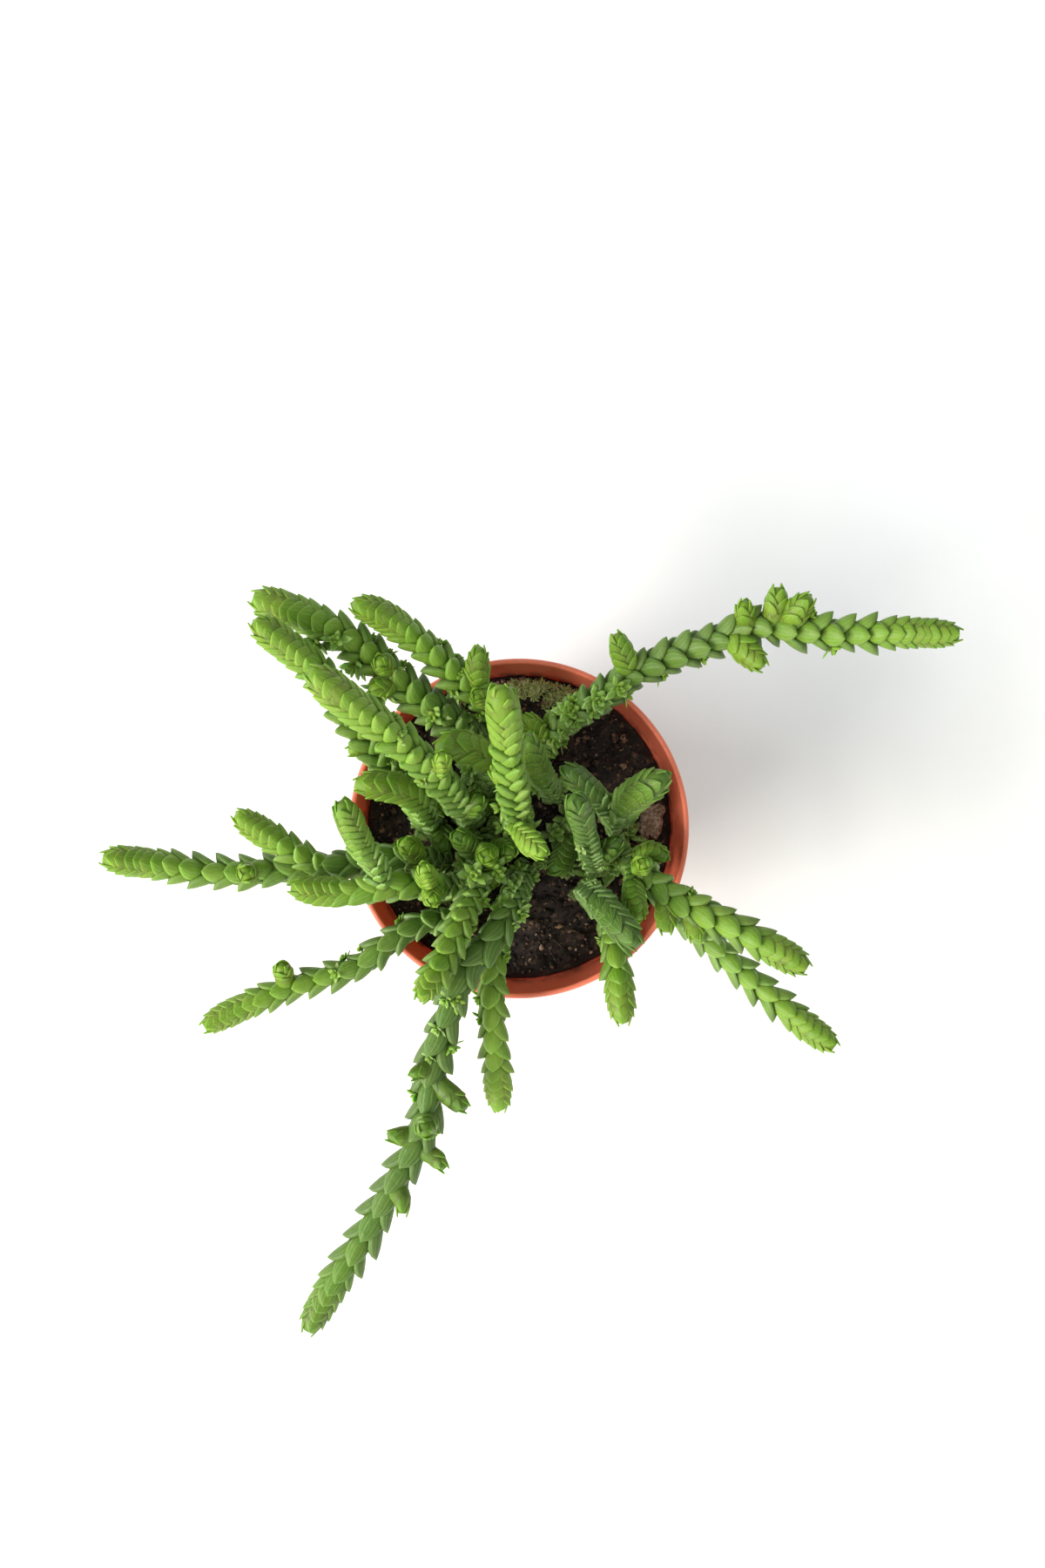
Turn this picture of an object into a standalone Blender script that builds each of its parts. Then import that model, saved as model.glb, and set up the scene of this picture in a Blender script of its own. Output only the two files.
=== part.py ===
"""A potted watch chain plant: scaly succulent stems that sprawl out of a small plastic pot of soil.

Metres, +Z up. The origin is on the pot's axis at its underside, and +X and +Y are level. Every stem
is one closed solid: a round core from which pairs of pointed leaves rise, each pair turned a quarter
turn from the last. Its side shoots are joined into it. The leaves are a little larger than in life.
"""

import math
import random

import bmesh
import bpy
from mathutils import Vector

MM = 0.001
CLEARANCE = 0.3 * MM

# The pot is a turned shell with a collar round its top and drain holes in its base.
POT_HEIGHT = 48 * MM
POT_TOP_RADIUS = 27.5 * MM
POT_BASE_RADIUS = 19 * MM
WALL = 0.9 * MM
BASE_THICKNESS = 1.4 * MM
COLLAR_HEIGHT = 10 * MM
COLLAR_FOOT_RADIUS = 26.2 * MM
COLLAR_STEP = 1.5 * MM
COLLAR_SLOPE = 0.4 * MM
BASE_CORNER = 0.8 * MM
LIP = 0.4 * MM
POT_SEGMENTS = 44
DRAIN_HOLES = 5
DRAIN_SIDES = 10
DRAIN_RADIUS = 2.2 * MM
DRAIN_CIRCLE = 12.5 * MM

# The soil fills the pot to a finger's breadth under the rim.
SOIL_LEVEL = 40 * MM
SOIL_GAP = 0.5 * MM
SOIL_RELIEF = 0.45 * MM
SOIL_CRUMB = 0.25 * MM
HEAP_LENGTH = 3 * MM
HEAP_WIDTH = 3.7 * MM
SOIL_RINGS = (6, 12, 17.5, 22)
SOIL_SEGMENTS = 32
SOIL_SEED = 11
HOLE_SIDES = 8
HOLE_ROOM = 0.45 * MM

# A stem's core, and its leaves in pairs. Old pairs stand apart, and those at a tip are crowded.
FOOT_RADIUS = 1.2 * MM
CORE_RADIUS = 1.45 * MM
TIP_CORE_RADIUS = 1.8 * MM
COLUMNS = 8
LEAF_SPREAD = 2.85 * MM
FOOT_SPREAD = 2.6 * MM
FOOT_ZONE = 4 * MM
OLD_SPACING = 3.4 * MM
TIP_SPACING = 2.1 * MM
TIP_ZONE = 11 * MM
TIP_TAPER = 3.2 * MM
TIP_SPREAD = 1.3 * MM
LEAF_PER_SPACING = 1.6
MARGIN_SPREAD = 0.68
MARGIN_REACH = 0.56
AXIL_REACH = 0.3
APEX_HEIGHT = 0.5 * MM
BARE_ABOVE_SOIL = 1.6 * MM
LEAST_STAND = 0.8 * MM
CURVE_STEP = 0.4 * MM
STEM_ROLL = 0.7

# Each finish is a colour and a roughness.
POT_FINISH = ((0.50, 0.105, 0.048, 1), 0.45)
SOIL_FINISH = ((0.022, 0.015, 0.012, 1), 0.95)
LEAF_FINISH = ((0.11, 0.28, 0.045, 1), 0.4)

# Each stem has a name, a thickness against the usual one, its route in millimetres from the root up,
# and its side shoots, which each have a thickness and a route that starts on the stem.
STEMS = (
    ("stem_left_long", 1.0,
     ((-12.5, -7, 34), (-13.5, -5.5, 44), (-19, -4.5, 51), (-27, -5.5, 53), (-33, -6, 54),
      (-40.5, -6.5, 55), (-48.5, -6.5, 56), (-57, -5, 58), (-64, -4, 61)),
     ((0.95, ((-30.5, -6, 53.5), (-34, -4, 56), (-39, -0.5, 58.5), (-43.5, 3, 61))),
      (0.8, ((-41.5, -6.5, 55), (-42, -6.5, 58), (-41.5, -6.5, 61))),
      (0.85, ((-16, -5, 47.5), (-17, -3, 53), (-18, -2, 57))))),
    ("stem_left_low", 1.0,
     ((-8, -10.5, 34), (-10, -10, 45), (-17, -8.5, 56), (-22.5, -9, 58), (-28.5, -9.5, 58),
      (-35.5, -8.5, 60)),
     ((0.9, ((-21, -9, 58), (-21.5, -5.5, 62), (-23.5, -1.5, 67), (-24.5, 2, 71), (-25.5, 5, 74))),
      (0.75, ((-13, -9.5, 51), (-14, -7.5, 58), (-14.5, -5, 63))),
      (0.7, ((-13.5, -9, 52), (-13.5, -10, 57), (-13, -11, 61))))),
    ("stem_lower_left", 0.9,
     ((-7.5, -17, 34), (-10, -15, 46), (-15.5, -15, 52), (-21.5, -18.5, 54), (-25.5, -21.5, 54),
      (-33.5, -24, 54.5), (-40.5, -26.5, 55), (-46, -29, 55.5), (-49.5, -31, 56.5)),
     ((0.75, ((-36.5, -24.5, 54.5), (-36.5, -22, 57), (-36.5, -20.5, 60))),)),
    ("stem_front_long", 1.0,
     ((1, -6, 34), (0.3, -8, 45), (-1, -11.5, 52.5), (-4, -16.5, 58), (-8.5, -22, 60), (-11, -28.5, 60),
      (-13, -35.5, 59), (-14, -42.5, 58), (-16, -49, 57), (-19, -54.5, 56), (-24, -63.5, 54),
      (-28.5, -70.5, 53), (-31.5, -75.5, 53), (-33.5, -79.5, 54)),
     ((0.85, ((-13, -38, 59), (-10.5, -40.5, 59.5), (-7.5, -42.5, 61))),
      (0.85, ((-14.5, -44.5, 58), (-14, -44.5, 62), (-14, -44.5, 66))),
      (0.8, ((-15.5, -47.5, 57), (-18, -47, 58.5), (-20.5, -46.5, 60))),
      (0.7, ((-16, -49, 57), (-13, -50.5, 57.5), (-11, -52.5, 58.5))),
      (0.75, ((-19.5, -55, 56), (-18, -57, 58), (-18, -59.5, 59))),
      (0.7, ((-13, -36.5, 59), (-15, -36.5, 61), (-16.5, -37, 63))))),
    ("stem_front_short", 0.95,
     ((-2.5, -13.5, 34), (-2.5, -14.5, 44), (-3.5, -19, 50.5), (-4.3, -24.5, 53), (-4, -31, 53.5),
      (-3.5, -38, 53), (-3, -45, 52.5)),
     ()),
    ("stem_front_right", 1.0,
     ((15, -15, 34), (15, -16, 45), (15.3, -19, 51), (15.7, -23, 53), (16, -27, 54),
      (16.5, -31, 54)),
     ()),
    ("stem_right_leaning", 1.0,
     ((11, -11.5, 34), (11.2, -10.7, 45), (12.2, -10.8, 56), (13.8, -12.4, 62), (15.8, -14.6, 66),
      (18, -17, 68)),
     ()),
    ("stem_right_upright", 0.9,
     ((12.8, -6.3, 34), (12.4, -5.8, 46), (10.9, -2.5, 57), (9.4, 1.8, 66), (8, 5.5, 73)),
     ((0.85, ((12.2, -5.3, 48), (14, -3.2, 53), (15.8, -1.5, 56.5))),)),
    ("stem_right_short", 1.1,
     ((18, 1.5, 34), (16, 1.5, 45), (16.5, 4, 55), (19, 6.5, 61), (22.5, 8.5, 65)),
     ((0.9, ((15.8, 2, 48), (13, 4.5, 54), (9.5, 7.5, 59), (6.5, 10, 62))),)),
    ("stem_lower_right", 1.05,
     ((18.2, -5.5, 34), (18, -5.7, 46), (20.5, -7.8, 53), (25, -11, 58), (31.5, -14, 61),
      (39, -18, 62), (44, -21, 63)),
     ((0.95, ((22, -8.7, 54.5), (26, -14, 53), (31, -18.5, 53), (37, -24, 53.5),
              (43.5, -29.5, 54.5), (49.5, -34, 57))),
      (0.8, ((18.6, -6.3, 49), (17.8, -8.5, 54.5), (17.8, -11, 58.5), (18.5, -13.5, 62))),
      (0.85, ((23, -9.6, 56), (22.8, -13, 57), (22.8, -16.3, 58))),
      (0.7, ((19, -6.2, 50), (19, -5.5, 57), (18.8, -4.8, 62))),
      (0.8, ((26.5, -11.6, 58.7), (27, -14.3, 59), (27, -17.3, 60))),
      (0.8, ((18.2, -5.7, 46.5), (20.8, -3.8, 51), (23.3, -4.2, 55))))),
    ("stem_right_long", 0.95,
     ((2.5, 11.5, 34), (3.5, 13, 45), (7, 17, 50), (13, 21, 54), (17, 24, 56), (23.5, 27, 58),
      (30, 29.5, 59), (36.5, 31.5, 60), (43, 30.5, 61), (50.5, 30, 62), (58.5, 30, 63),
      (66.5, 29.5, 65)),
     ((0.85, ((17, 24, 56), (16, 27, 59), (14.5, 30.5, 61))),
      (0.9, ((38.5, 31.5, 60.3), (39, 34.5, 62), (39, 37.5, 63))),
      (0.95, ((40.5, 31, 60.5), (42, 33.5, 63), (44, 35.5, 65))),
      (0.8, ((35, 31, 59.8), (34.2, 33, 62), (34, 35, 64))),
      (0.95, ((32.5, 30, 59.3), (34.5, 27.5, 61), (37.5, 24.5, 62))),
      (0.8, ((4.5, 14, 46.5), (2.5, 16, 51), (0.5, 18, 54))))),
    ("stem_centre_tall", 1.1,
     ((0, -2, 34), (0, 0, 46), (-0.5, 5, 62), (-1.5, 11, 72), (-2, 16, 79), (-2.5, 20.5, 85)),
     ((0.85, ((0, 1.5, 52), (0.5, -0.5, 60), (4, -3.5, 66))),
      (0.7, ((-0.5, 7, 65.5), (-3, 8.5, 68.5), (-4, 9.5, 70.5))))),
    ("stem_centre_low", 0.9,
     ((6.5, 4.5, 34), (5.5, 6, 44), (3.5, 8.5, 54), (2, 12, 60), (1.5, 15, 63)),
     ()),
    ("stem_upper_left_low", 1.1,
     ((-4.5, 12.5, 34), (-5.5, 13, 44), (-11.5, 17.5, 54), (-17, 21.5, 57.5), (-22, 26, 60.5),
      (-26.5, 29.5, 63), (-32.5, 32.5, 65), (-40, 35, 67)),
     ((0.75, ((-19, 23.5, 59), (-20.5, 25, 62), (-21, 26, 65))),
      (0.75, ((-19, 23, 58.5), (-20.5, 22, 61), (-22.5, 21.5, 64))))),
    ("stem_upper_left_middle", 1.0,
     ((-13.5, 3.5, 34), (-15.5, 5, 43), (-19.5, 8.5, 52), (-23, 13, 58), (-26, 17.5, 62),
      (-29.5, 23.5, 67), (-33.5, 27, 70), (-38.5, 31, 73)),
     ((0.7, ((-23.5, 13.5, 58.5), (-25, 12.5, 59), (-26.5, 12, 60))),)),
    ("stem_upper_left_high", 1.1,
     ((-8.5, 0, 34), (-8.5, 2.5, 48), (-11, 6.5, 61), (-14.5, 10.5, 69), (-19, 15, 75),
      (-23.5, 18.5, 79), (-29, 23, 83)),
     ((0.7, ((-12.5, 8.5, 64), (-11.5, 10, 69), (-11, 11.5, 73))),
      (0.85, ((-9, 3, 49), (-7, 4, 55), (-6, 5.5, 58))))),
    ("stem_upper_left_back", 1.0,
     ((-1, 17.5, 34), (-2, 18, 44), (-6, 20.5, 53), (-10, 24, 57), (-15.5, 29, 60.5),
      (-20.5, 32.5, 64), (-25, 34, 67)),
     ((0.85, ((-6.5, 21, 53.5), (-6.5, 24.5, 58), (-6, 28.5, 61))),
      (0.7, ((-5, 20, 51.5), (-6, 20.5, 57), (-6.5, 21, 61))))),
    ("stem_left_stub", 1.05,
     ((-14.5, -1.5, 34), (-14.5, 0.5, 44), (-15.5, 3.5, 52), (-17.5, 6, 58), (-21, 7, 61.5),
      (-25, 7, 64)),
     ((0.8, ((-14.5, 0.5, 43), (-12.8, -1.2, 47), (-12, -3.5, 51))),)),
    ("stem_centre_arched", 1.1,
     ((-4.5, 5.5, 34), (-4.5, 7.5, 44), (-5, 11, 54), (-9, 13, 60), (-13, 12.5, 62.5)),
     ()),
    ("stem_front_high", 0.95,
     ((-6, -5, 34), (-6, -6, 45), (-7, -10, 54), (-9.2, -14.5, 61.5), (-11.8, -20, 65), (-14.8, -25, 68)),
     ((0.85, ((-6, -5.5, 43), (-5.2, -4, 50), (-5, -4, 58))),
      (0.85, ((-6, -5.5, 44), (-3, -3.5, 49.5), (-1, -3.5, 54.5))),
      (0.85, ((-6, -5.5, 45), (-8, -2.7, 51.5), (-9.8, -0.5, 57))),
      (0.7, ((-6.3, -7, 48), (-4.5, -8, 51), (-3.8, -8.2, 54))))),
    ("stem_right_hidden", 0.85,
     ((9, -1, 34), (8, -3, 42), (6.5, -6, 46), (4.8, -7, 48)),
     ()),
)


def clear_scene():
    for obj in list(bpy.data.objects):
        bpy.data.objects.remove(obj, do_unlink=True)


def material(name, finish):
    colour, roughness = finish
    made = bpy.data.materials.new(name)
    made.use_nodes = True
    shader = made.node_tree.nodes["Principled BSDF"]
    shader.inputs["Base Color"].default_value = colour
    shader.inputs["Roughness"].default_value = roughness
    shader.inputs["Metallic"].default_value = 0
    made.diffuse_color = colour
    return made


def closed_object(name, points, faces, collection=None):
    """An object from points and faces, with its faces turned outward."""
    mesh = bpy.data.meshes.new(name)
    mesh.from_pydata([tuple(p) for p in points], [], faces)
    shape = bmesh.new()
    shape.from_mesh(mesh)
    bmesh.ops.recalc_face_normals(shape, faces=shape.faces)
    shape.to_mesh(mesh)
    shape.free()
    obj = bpy.data.objects.new(name, mesh)
    (collection or bpy.context.scene.collection).objects.link(obj)
    return obj


def apply_boolean(obj, collection, operation):
    """Joins or cuts an object with everything in a collection, and removes the collection."""
    change = obj.modifiers.new(operation.title(), "BOOLEAN")
    change.operation = operation
    change.operand_type = "COLLECTION"
    change.collection = collection
    change.solver = "EXACT"
    graph = bpy.context.evaluated_depsgraph_get()
    mesh = bpy.data.meshes.new_from_object(obj.evaluated_get(graph))
    obj.modifiers.clear()
    obj.data = mesh
    for other in list(collection.objects):
        bpy.data.objects.remove(other, do_unlink=True)
    bpy.data.collections.remove(collection)


def scratch_collection(name):
    made = bpy.data.collections.new(name)
    bpy.context.scene.collection.children.link(made)
    return made


def turned(profile, segments, height=None):
    """Points and faces of a profile of (radius, z) turned about Z. It starts and ends on the axis."""
    points = [(0, 0, profile[0][1])]
    faces = []
    for radius, z in profile[1:-1]:
        for k in range(segments):
            turn = math.tau * k / segments
            x = radius * math.cos(turn)
            y = radius * math.sin(turn)
            points.append((x, y, height(x, y, z) if height else z))
    points.append((0, 0, profile[-1][1]))
    last = len(points) - 1
    rings = len(profile) - 2
    for k in range(segments):
        after = (k + 1) % segments
        faces.append((0, 1 + after, 1 + k))
        for ring in range(rings - 1):
            low = 1 + ring * segments
            high = low + segments
            faces.append((low + k, low + after, high + after, high + k))
        top = 1 + (rings - 1) * segments
        faces.append((top + k, top + after, last))
    return points, faces


class Route:
    """A smooth curve through a few points, measured by its length, with a frame that doesn't twist."""

    def __init__(self, points, roll=0.0):
        stations = [Vector(p) * MM for p in points]
        ahead = 2 * stations[0] - stations[1]
        beyond = 2 * stations[-1] - stations[-2]
        padded = [ahead, *stations, beyond]
        self.points = []
        for k in range(1, len(padded) - 2):
            self.points += self.stretch(*padded[k - 1:k + 3])
        self.points.append(stations[-1])
        self.lengths = [0.0]
        for a, b in zip(self.points, self.points[1:]):
            self.lengths.append(self.lengths[-1] + (b - a).length)
        self.length = self.lengths[-1]
        self.make_frames(roll)

    @staticmethod
    def stretch(before, start, end, after):
        """Points from start up to end on the curve that passes through all four."""
        count = max(3, round((end - start).length / CURVE_STEP))
        found = []
        for k in range(count):
            t = k / count
            found.append(0.5 * (2 * start + (end - before) * t
                                + (2 * before - 5 * start + 4 * end - after) * t ** 2
                                + (3 * start - before - 3 * end + after) * t ** 3))
        return found

    def make_frames(self, roll):
        self.tangents = []
        for k in range(len(self.points)):
            behind = self.points[max(0, k - 1)]
            ahead = self.points[min(len(self.points) - 1, k + 1)]
            self.tangents.append((ahead - behind).normalized())
        first = self.tangents[0]
        side = first.orthogonal().normalized()
        side = math.cos(roll) * side + math.sin(roll) * first.cross(side)
        self.sides = [side]
        for a, b in zip(self.tangents, self.tangents[1:]):
            side = a.rotation_difference(b) @ side
            self.sides.append((side - side.dot(b) * b).normalized())

    def place(self, distance, radius=0.0, angle=0.0):
        """The point at a distance along the route, and out from it by a radius at an angle."""
        inside = min(max(distance, 0.0), self.length)
        low = 0
        high = len(self.lengths) - 1
        while high - low > 1:
            middle = (low + high) // 2
            if self.lengths[middle] <= inside:
                low = middle
            else:
                high = middle
        share = (inside - self.lengths[low]) / (self.lengths[high] - self.lengths[low])
        tangent = self.tangents[low].lerp(self.tangents[high], share).normalized()
        side = self.sides[low].lerp(self.sides[high], share)
        side = (side - side.dot(tangent) * tangent).normalized()
        out = math.cos(angle) * side + math.sin(angle) * tangent.cross(side)
        base = self.points[low].lerp(self.points[high], share)
        return base + tangent * (distance - inside) + radius * out

    def distance_to_height(self, z):
        for point, distance in zip(self.points, self.lengths):
            if point.z >= z:
                return distance
        return self.length


def smooth_step(t):
    t = min(max(t, 0.0), 1.0)
    return t * t * (3 - 2 * t)


def pair_spacing(left):
    """The distance from one pair of leaves to the next, where this much of the stem is left."""
    return TIP_SPACING + (OLD_SPACING - TIP_SPACING) * smooth_step(left / TIP_ZONE)


def leaf_pairs(start, length):
    """The distances at which pairs of leaves begin, stretched so that the last pair ends at the tip."""
    end = length - APEX_HEIGHT - LEAF_PER_SPACING * TIP_SPACING
    places = [start]
    while places[-1] + 0.5 * pair_spacing(length - places[-1]) < end:
        places.append(places[-1] + pair_spacing(length - places[-1]))
    reach = places[-1] - start
    if reach > 0:
        places = [start + (p - start) * (end - start) / reach for p in places]
    return places


def spread_at(distance, start, length, thickness, foot):
    """How far a leaf's tip stands out from the stem's middle."""
    full = LEAF_SPREAD * thickness
    left = max(0.0, length - APEX_HEIGHT - distance)
    blunt = math.sqrt(min(1.0, left / TIP_TAPER))
    spread = TIP_SPREAD + (full - TIP_SPREAD) * blunt
    if foot:
        grown = smooth_step((distance - start) / FOOT_ZONE)
        spread = min(spread, FOOT_SPREAD + (full - FOOT_SPREAD) * grown)
    return spread


def core_at(distance, length, thickness):
    """The thickness of the stem between its leaves, which are packed tight towards the tip."""
    young = 1 - smooth_step((length - distance) / TIP_ZONE)
    return thickness * (CORE_RADIUS + (TIP_CORE_RADIUS - CORE_RADIUS) * young)


def ring(route, radii, distances):
    """One point for each column round the stem."""
    return [route.place(distances[c], radii[c], math.tau * c / COLUMNS) for c in range(COLUMNS)]


def leaf_ring(route, start, length, spread, core, turned_pair):
    """The free edges of a pair of leaves: two keels that end in points, and the margins between."""
    radii = []
    distances = []
    for column in range(COLUMNS):
        place = (column + (2 if turned_pair else 0)) % 4
        if place == 0:
            radii.append(spread)
            distances.append(start + length)
        elif place == 2:
            radii.append(core)
            distances.append(start + AXIL_REACH * length)
        else:
            radii.append(core + MARGIN_SPREAD * (spread - core))
            distances.append(start + MARGIN_REACH * length)
    return ring(route, radii, distances)


def band(points, low, high, hollow):
    """Triangles between two rings, each square split so that it bulges outward or is hollow."""
    faces = []
    for c in range(COLUMNS):
        d = (c + 1) % COLUMNS
        corners = (low + c, low + d, high + d, high + c)
        a, b, e, f = (points[k] for k in corners)
        bulges = (e - a).cross(b - a).dot(f - a) > 0
        if bulges != hollow:
            faces += [(corners[0], corners[1], corners[2]), (corners[0], corners[2], corners[3])]
        else:
            faces += [(corners[0], corners[1], corners[3]), (corners[1], corners[2], corners[3])]
    return faces


def leafy_stem(name, route, thickness, start, foot, collection=None):
    """A stem or side shoot as one closed solid: its foot, its pairs of leaves and its pointed tip."""
    base = FOOT_RADIUS if foot else FOOT_RADIUS * thickness
    points = [route.place(0)]
    points += ring(route, [base] * COLUMNS, [0] * COLUMNS)
    faces = [(0, 1 + (c + 1) % COLUMNS, 1 + c) for c in range(COLUMNS)]
    low = 1
    places = leaf_pairs(start, route.length)
    gaps = [b - a for a, b in zip(places, places[1:])] + [TIP_SPACING]
    for k, (place, gap) in enumerate(zip(places, gaps)):
        length = LEAF_PER_SPACING * min(gap, OLD_SPACING)
        spread = spread_at(place + length, start, route.length, thickness, foot)
        core = base if foot and k == 0 else core_at(place, route.length, thickness)
        if k + 1 < len(places):
            spread = max(spread, core + LEAST_STAND)
        roots = ring(route, [core] * COLUMNS, [place] * COLUMNS)
        edges = leaf_ring(route, place, length, spread, core, k % 2 == 1)
        for added, hollow in ((roots, k > 0), (edges, False)):
            high = len(points)
            points += added
            faces += band(points, low, high, hollow)
            low = high
    points.append(route.place(route.length))
    last = len(points) - 1
    faces += [(low + c, low + (c + 1) % COLUMNS, last) for c in range(COLUMNS)]
    return closed_object(name, points, faces, collection)


def make_stem(name, thickness, points, shoots, roll, skin):
    route = Route(points, roll)
    start = route.distance_to_height(SOIL_LEVEL + BARE_ABOVE_SOIL)
    stem = leafy_stem(name, route, thickness, start, True)
    if shoots:
        buds = scratch_collection(name + " shoots")
        for k, (girth, bud_points) in enumerate(shoots):
            bud = Route(bud_points, roll + k)
            leafy_stem(f"{name} shoot {k}", bud, girth, FOOT_RADIUS, False, buds)
        apply_boolean(stem, buds, "UNION")
    stem.data.materials.clear()
    stem.data.materials.append(skin)
    return route


def pot_inner_radius(z):
    """The inside of the pot's wall at a height, below and above the step of its collar."""
    step = POT_HEIGHT - COLLAR_HEIGHT
    if z > step:
        share = (z - step) / COLLAR_HEIGHT
        outer = COLLAR_FOOT_RADIUS + (POT_TOP_RADIUS - COLLAR_FOOT_RADIUS) * share
    else:
        outer = POT_BASE_RADIUS + (COLLAR_FOOT_RADIUS - COLLAR_STEP - POT_BASE_RADIUS) * z / step
    return outer - WALL


def make_pot(skin):
    step = POT_HEIGHT - COLLAR_HEIGHT
    under_collar = COLLAR_FOOT_RADIUS - COLLAR_STEP
    ledge = step + COLLAR_SLOPE
    profile = (
        (0, 0),
        (POT_BASE_RADIUS - BASE_CORNER, 0),
        (POT_BASE_RADIUS - 0.3 * BASE_CORNER, 0.3 * BASE_CORNER),
        (POT_BASE_RADIUS + 0.1 * BASE_CORNER, BASE_CORNER),
        (under_collar, step - COLLAR_SLOPE),
        (COLLAR_FOOT_RADIUS, step),
        (POT_TOP_RADIUS, POT_HEIGHT - LIP),
        (POT_TOP_RADIUS - LIP, POT_HEIGHT),
        (POT_TOP_RADIUS - WALL, POT_HEIGHT),
        (POT_TOP_RADIUS - WALL - 0.5 * LIP, POT_HEIGHT - LIP),
        (pot_inner_radius(ledge), ledge + COLLAR_SLOPE),
        (pot_inner_radius(step), step),
        (pot_inner_radius(BASE_THICKNESS) - 0.2 * BASE_CORNER, BASE_THICKNESS + BASE_CORNER),
        (pot_inner_radius(BASE_THICKNESS) - BASE_CORNER, BASE_THICKNESS),
        (0, BASE_THICKNESS),
    )
    pot = closed_object("pot", *turned(profile, POT_SEGMENTS))
    drains = scratch_collection("drains")
    for k in range(DRAIN_HOLES):
        turn = math.tau * k / DRAIN_HOLES
        hole = bmesh.new()
        bmesh.ops.create_cone(hole, cap_ends=True, segments=DRAIN_SIDES, radius1=DRAIN_RADIUS,
                              radius2=DRAIN_RADIUS, depth=4 * BASE_THICKNESS)
        mesh = bpy.data.meshes.new("drain")
        hole.to_mesh(mesh)
        hole.free()
        cutter = bpy.data.objects.new("drain", mesh)
        cutter.location = (DRAIN_CIRCLE * math.cos(turn), DRAIN_CIRCLE * math.sin(turn), 0)
        drains.objects.link(cutter)
    apply_boolean(pot, drains, "DIFFERENCE")
    pot.data.materials.clear()
    pot.data.materials.append(skin)
    pot.data.shade_smooth()
    pot.data.set_sharp_from_angle(angle=math.radians(35))
    return pot


def soil_height(x, y):
    """The rise and fall of the soil's surface, in long low heaps."""
    across = math.sin(x / HEAP_LENGTH + 0.8) * math.cos(y / HEAP_WIDTH)
    slanting = math.sin((2 * y - x) / HEAP_LENGTH)
    return SOIL_RELIEF * (across + 0.6 * slanting)


def root_hole(name, route, collection):
    """A straight prism round a stem's foot, from just under it to above the soil."""
    top = route.distance_to_height(SOIL_LEVEL + 2 * MM)
    radius = (FOOT_RADIUS + HOLE_ROOM) / math.cos(math.pi / HOLE_SIDES)
    points = []
    for distance in (-CLEARANCE, top):
        points += [route.place(distance, radius, math.tau * c / HOLE_SIDES)
                   for c in range(HOLE_SIDES)]
    faces = [tuple(range(HOLE_SIDES)), tuple(range(HOLE_SIDES, 2 * HOLE_SIDES))]
    for c in range(HOLE_SIDES):
        d = (c + 1) % HOLE_SIDES
        faces.append((c, d, HOLE_SIDES + d, HOLE_SIDES + c))
    closed_object(name, points, faces, collection)


def make_soil(routes, skin):
    draw = random.Random(SOIL_SEED)

    def height(x, y, z):
        if z < SOIL_LEVEL:
            return z
        return z + soil_height(x, y) + draw.uniform(-SOIL_CRUMB, SOIL_CRUMB)

    bottom = BASE_THICKNESS + CLEARANCE
    foot = pot_inner_radius(bottom) - SOIL_GAP
    shoulder = POT_HEIGHT - COLLAR_HEIGHT - SOIL_GAP
    edge = pot_inner_radius(SOIL_LEVEL) - SOIL_GAP
    profile = [
        (0, bottom),
        (foot - BASE_CORNER, bottom),
        (foot, bottom + 1.5 * BASE_CORNER),
        (pot_inner_radius(shoulder) - SOIL_GAP, shoulder),
        (edge - SOIL_GAP, SOIL_LEVEL - 1.5 * BASE_CORNER),
        (edge, SOIL_LEVEL),
    ]
    profile += [(radius * MM, SOIL_LEVEL) for radius in reversed(SOIL_RINGS)]
    profile.append((0, SOIL_LEVEL))
    soil = closed_object("soil", *turned(profile, SOIL_SEGMENTS, height))
    holes = scratch_collection("root holes")
    for k, route in enumerate(routes):
        root_hole(f"root hole {k}", route, holes)
    apply_boolean(soil, holes, "DIFFERENCE")
    soil.data.materials.clear()
    soil.data.materials.append(skin)
    return soil


def main():
    clear_scene()
    make_pot(material("terracotta plastic", POT_FINISH))
    leaf = material("leaf", LEAF_FINISH)
    routes = []
    for k, (name, thickness, points, shoots) in enumerate(STEMS):
        routes.append(make_stem(name, thickness, points, shoots, STEM_ROLL * k, leaf))
    make_soil(routes, material("soil", SOIL_FINISH))


main()
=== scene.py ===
"""The looks of a potted watch chain plant: fine scaly stems, a moulded pot, loose soil and moss.

Everything is in metres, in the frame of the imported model. Each stem follows the same route as the
solid that it replaces, with leaves at their true size.
"""

import math

import bpy
import numpy as np
from mathutils import Matrix


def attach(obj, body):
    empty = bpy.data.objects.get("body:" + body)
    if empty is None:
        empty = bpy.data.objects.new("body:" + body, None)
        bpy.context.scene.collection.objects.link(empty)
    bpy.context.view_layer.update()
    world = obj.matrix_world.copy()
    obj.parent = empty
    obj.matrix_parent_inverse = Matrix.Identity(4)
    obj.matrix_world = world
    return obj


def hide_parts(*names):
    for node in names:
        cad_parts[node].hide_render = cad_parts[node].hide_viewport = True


MM = 0.001
BODY = "root"

# The photograph looks straight down on the pot.
IMAGE_SIZE = (1200, 1800)
FOCAL_PIXELS = 1600
CAMERA_PLACE = (0.56 * MM, 7.2 * MM, 273 * MM)

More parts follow.
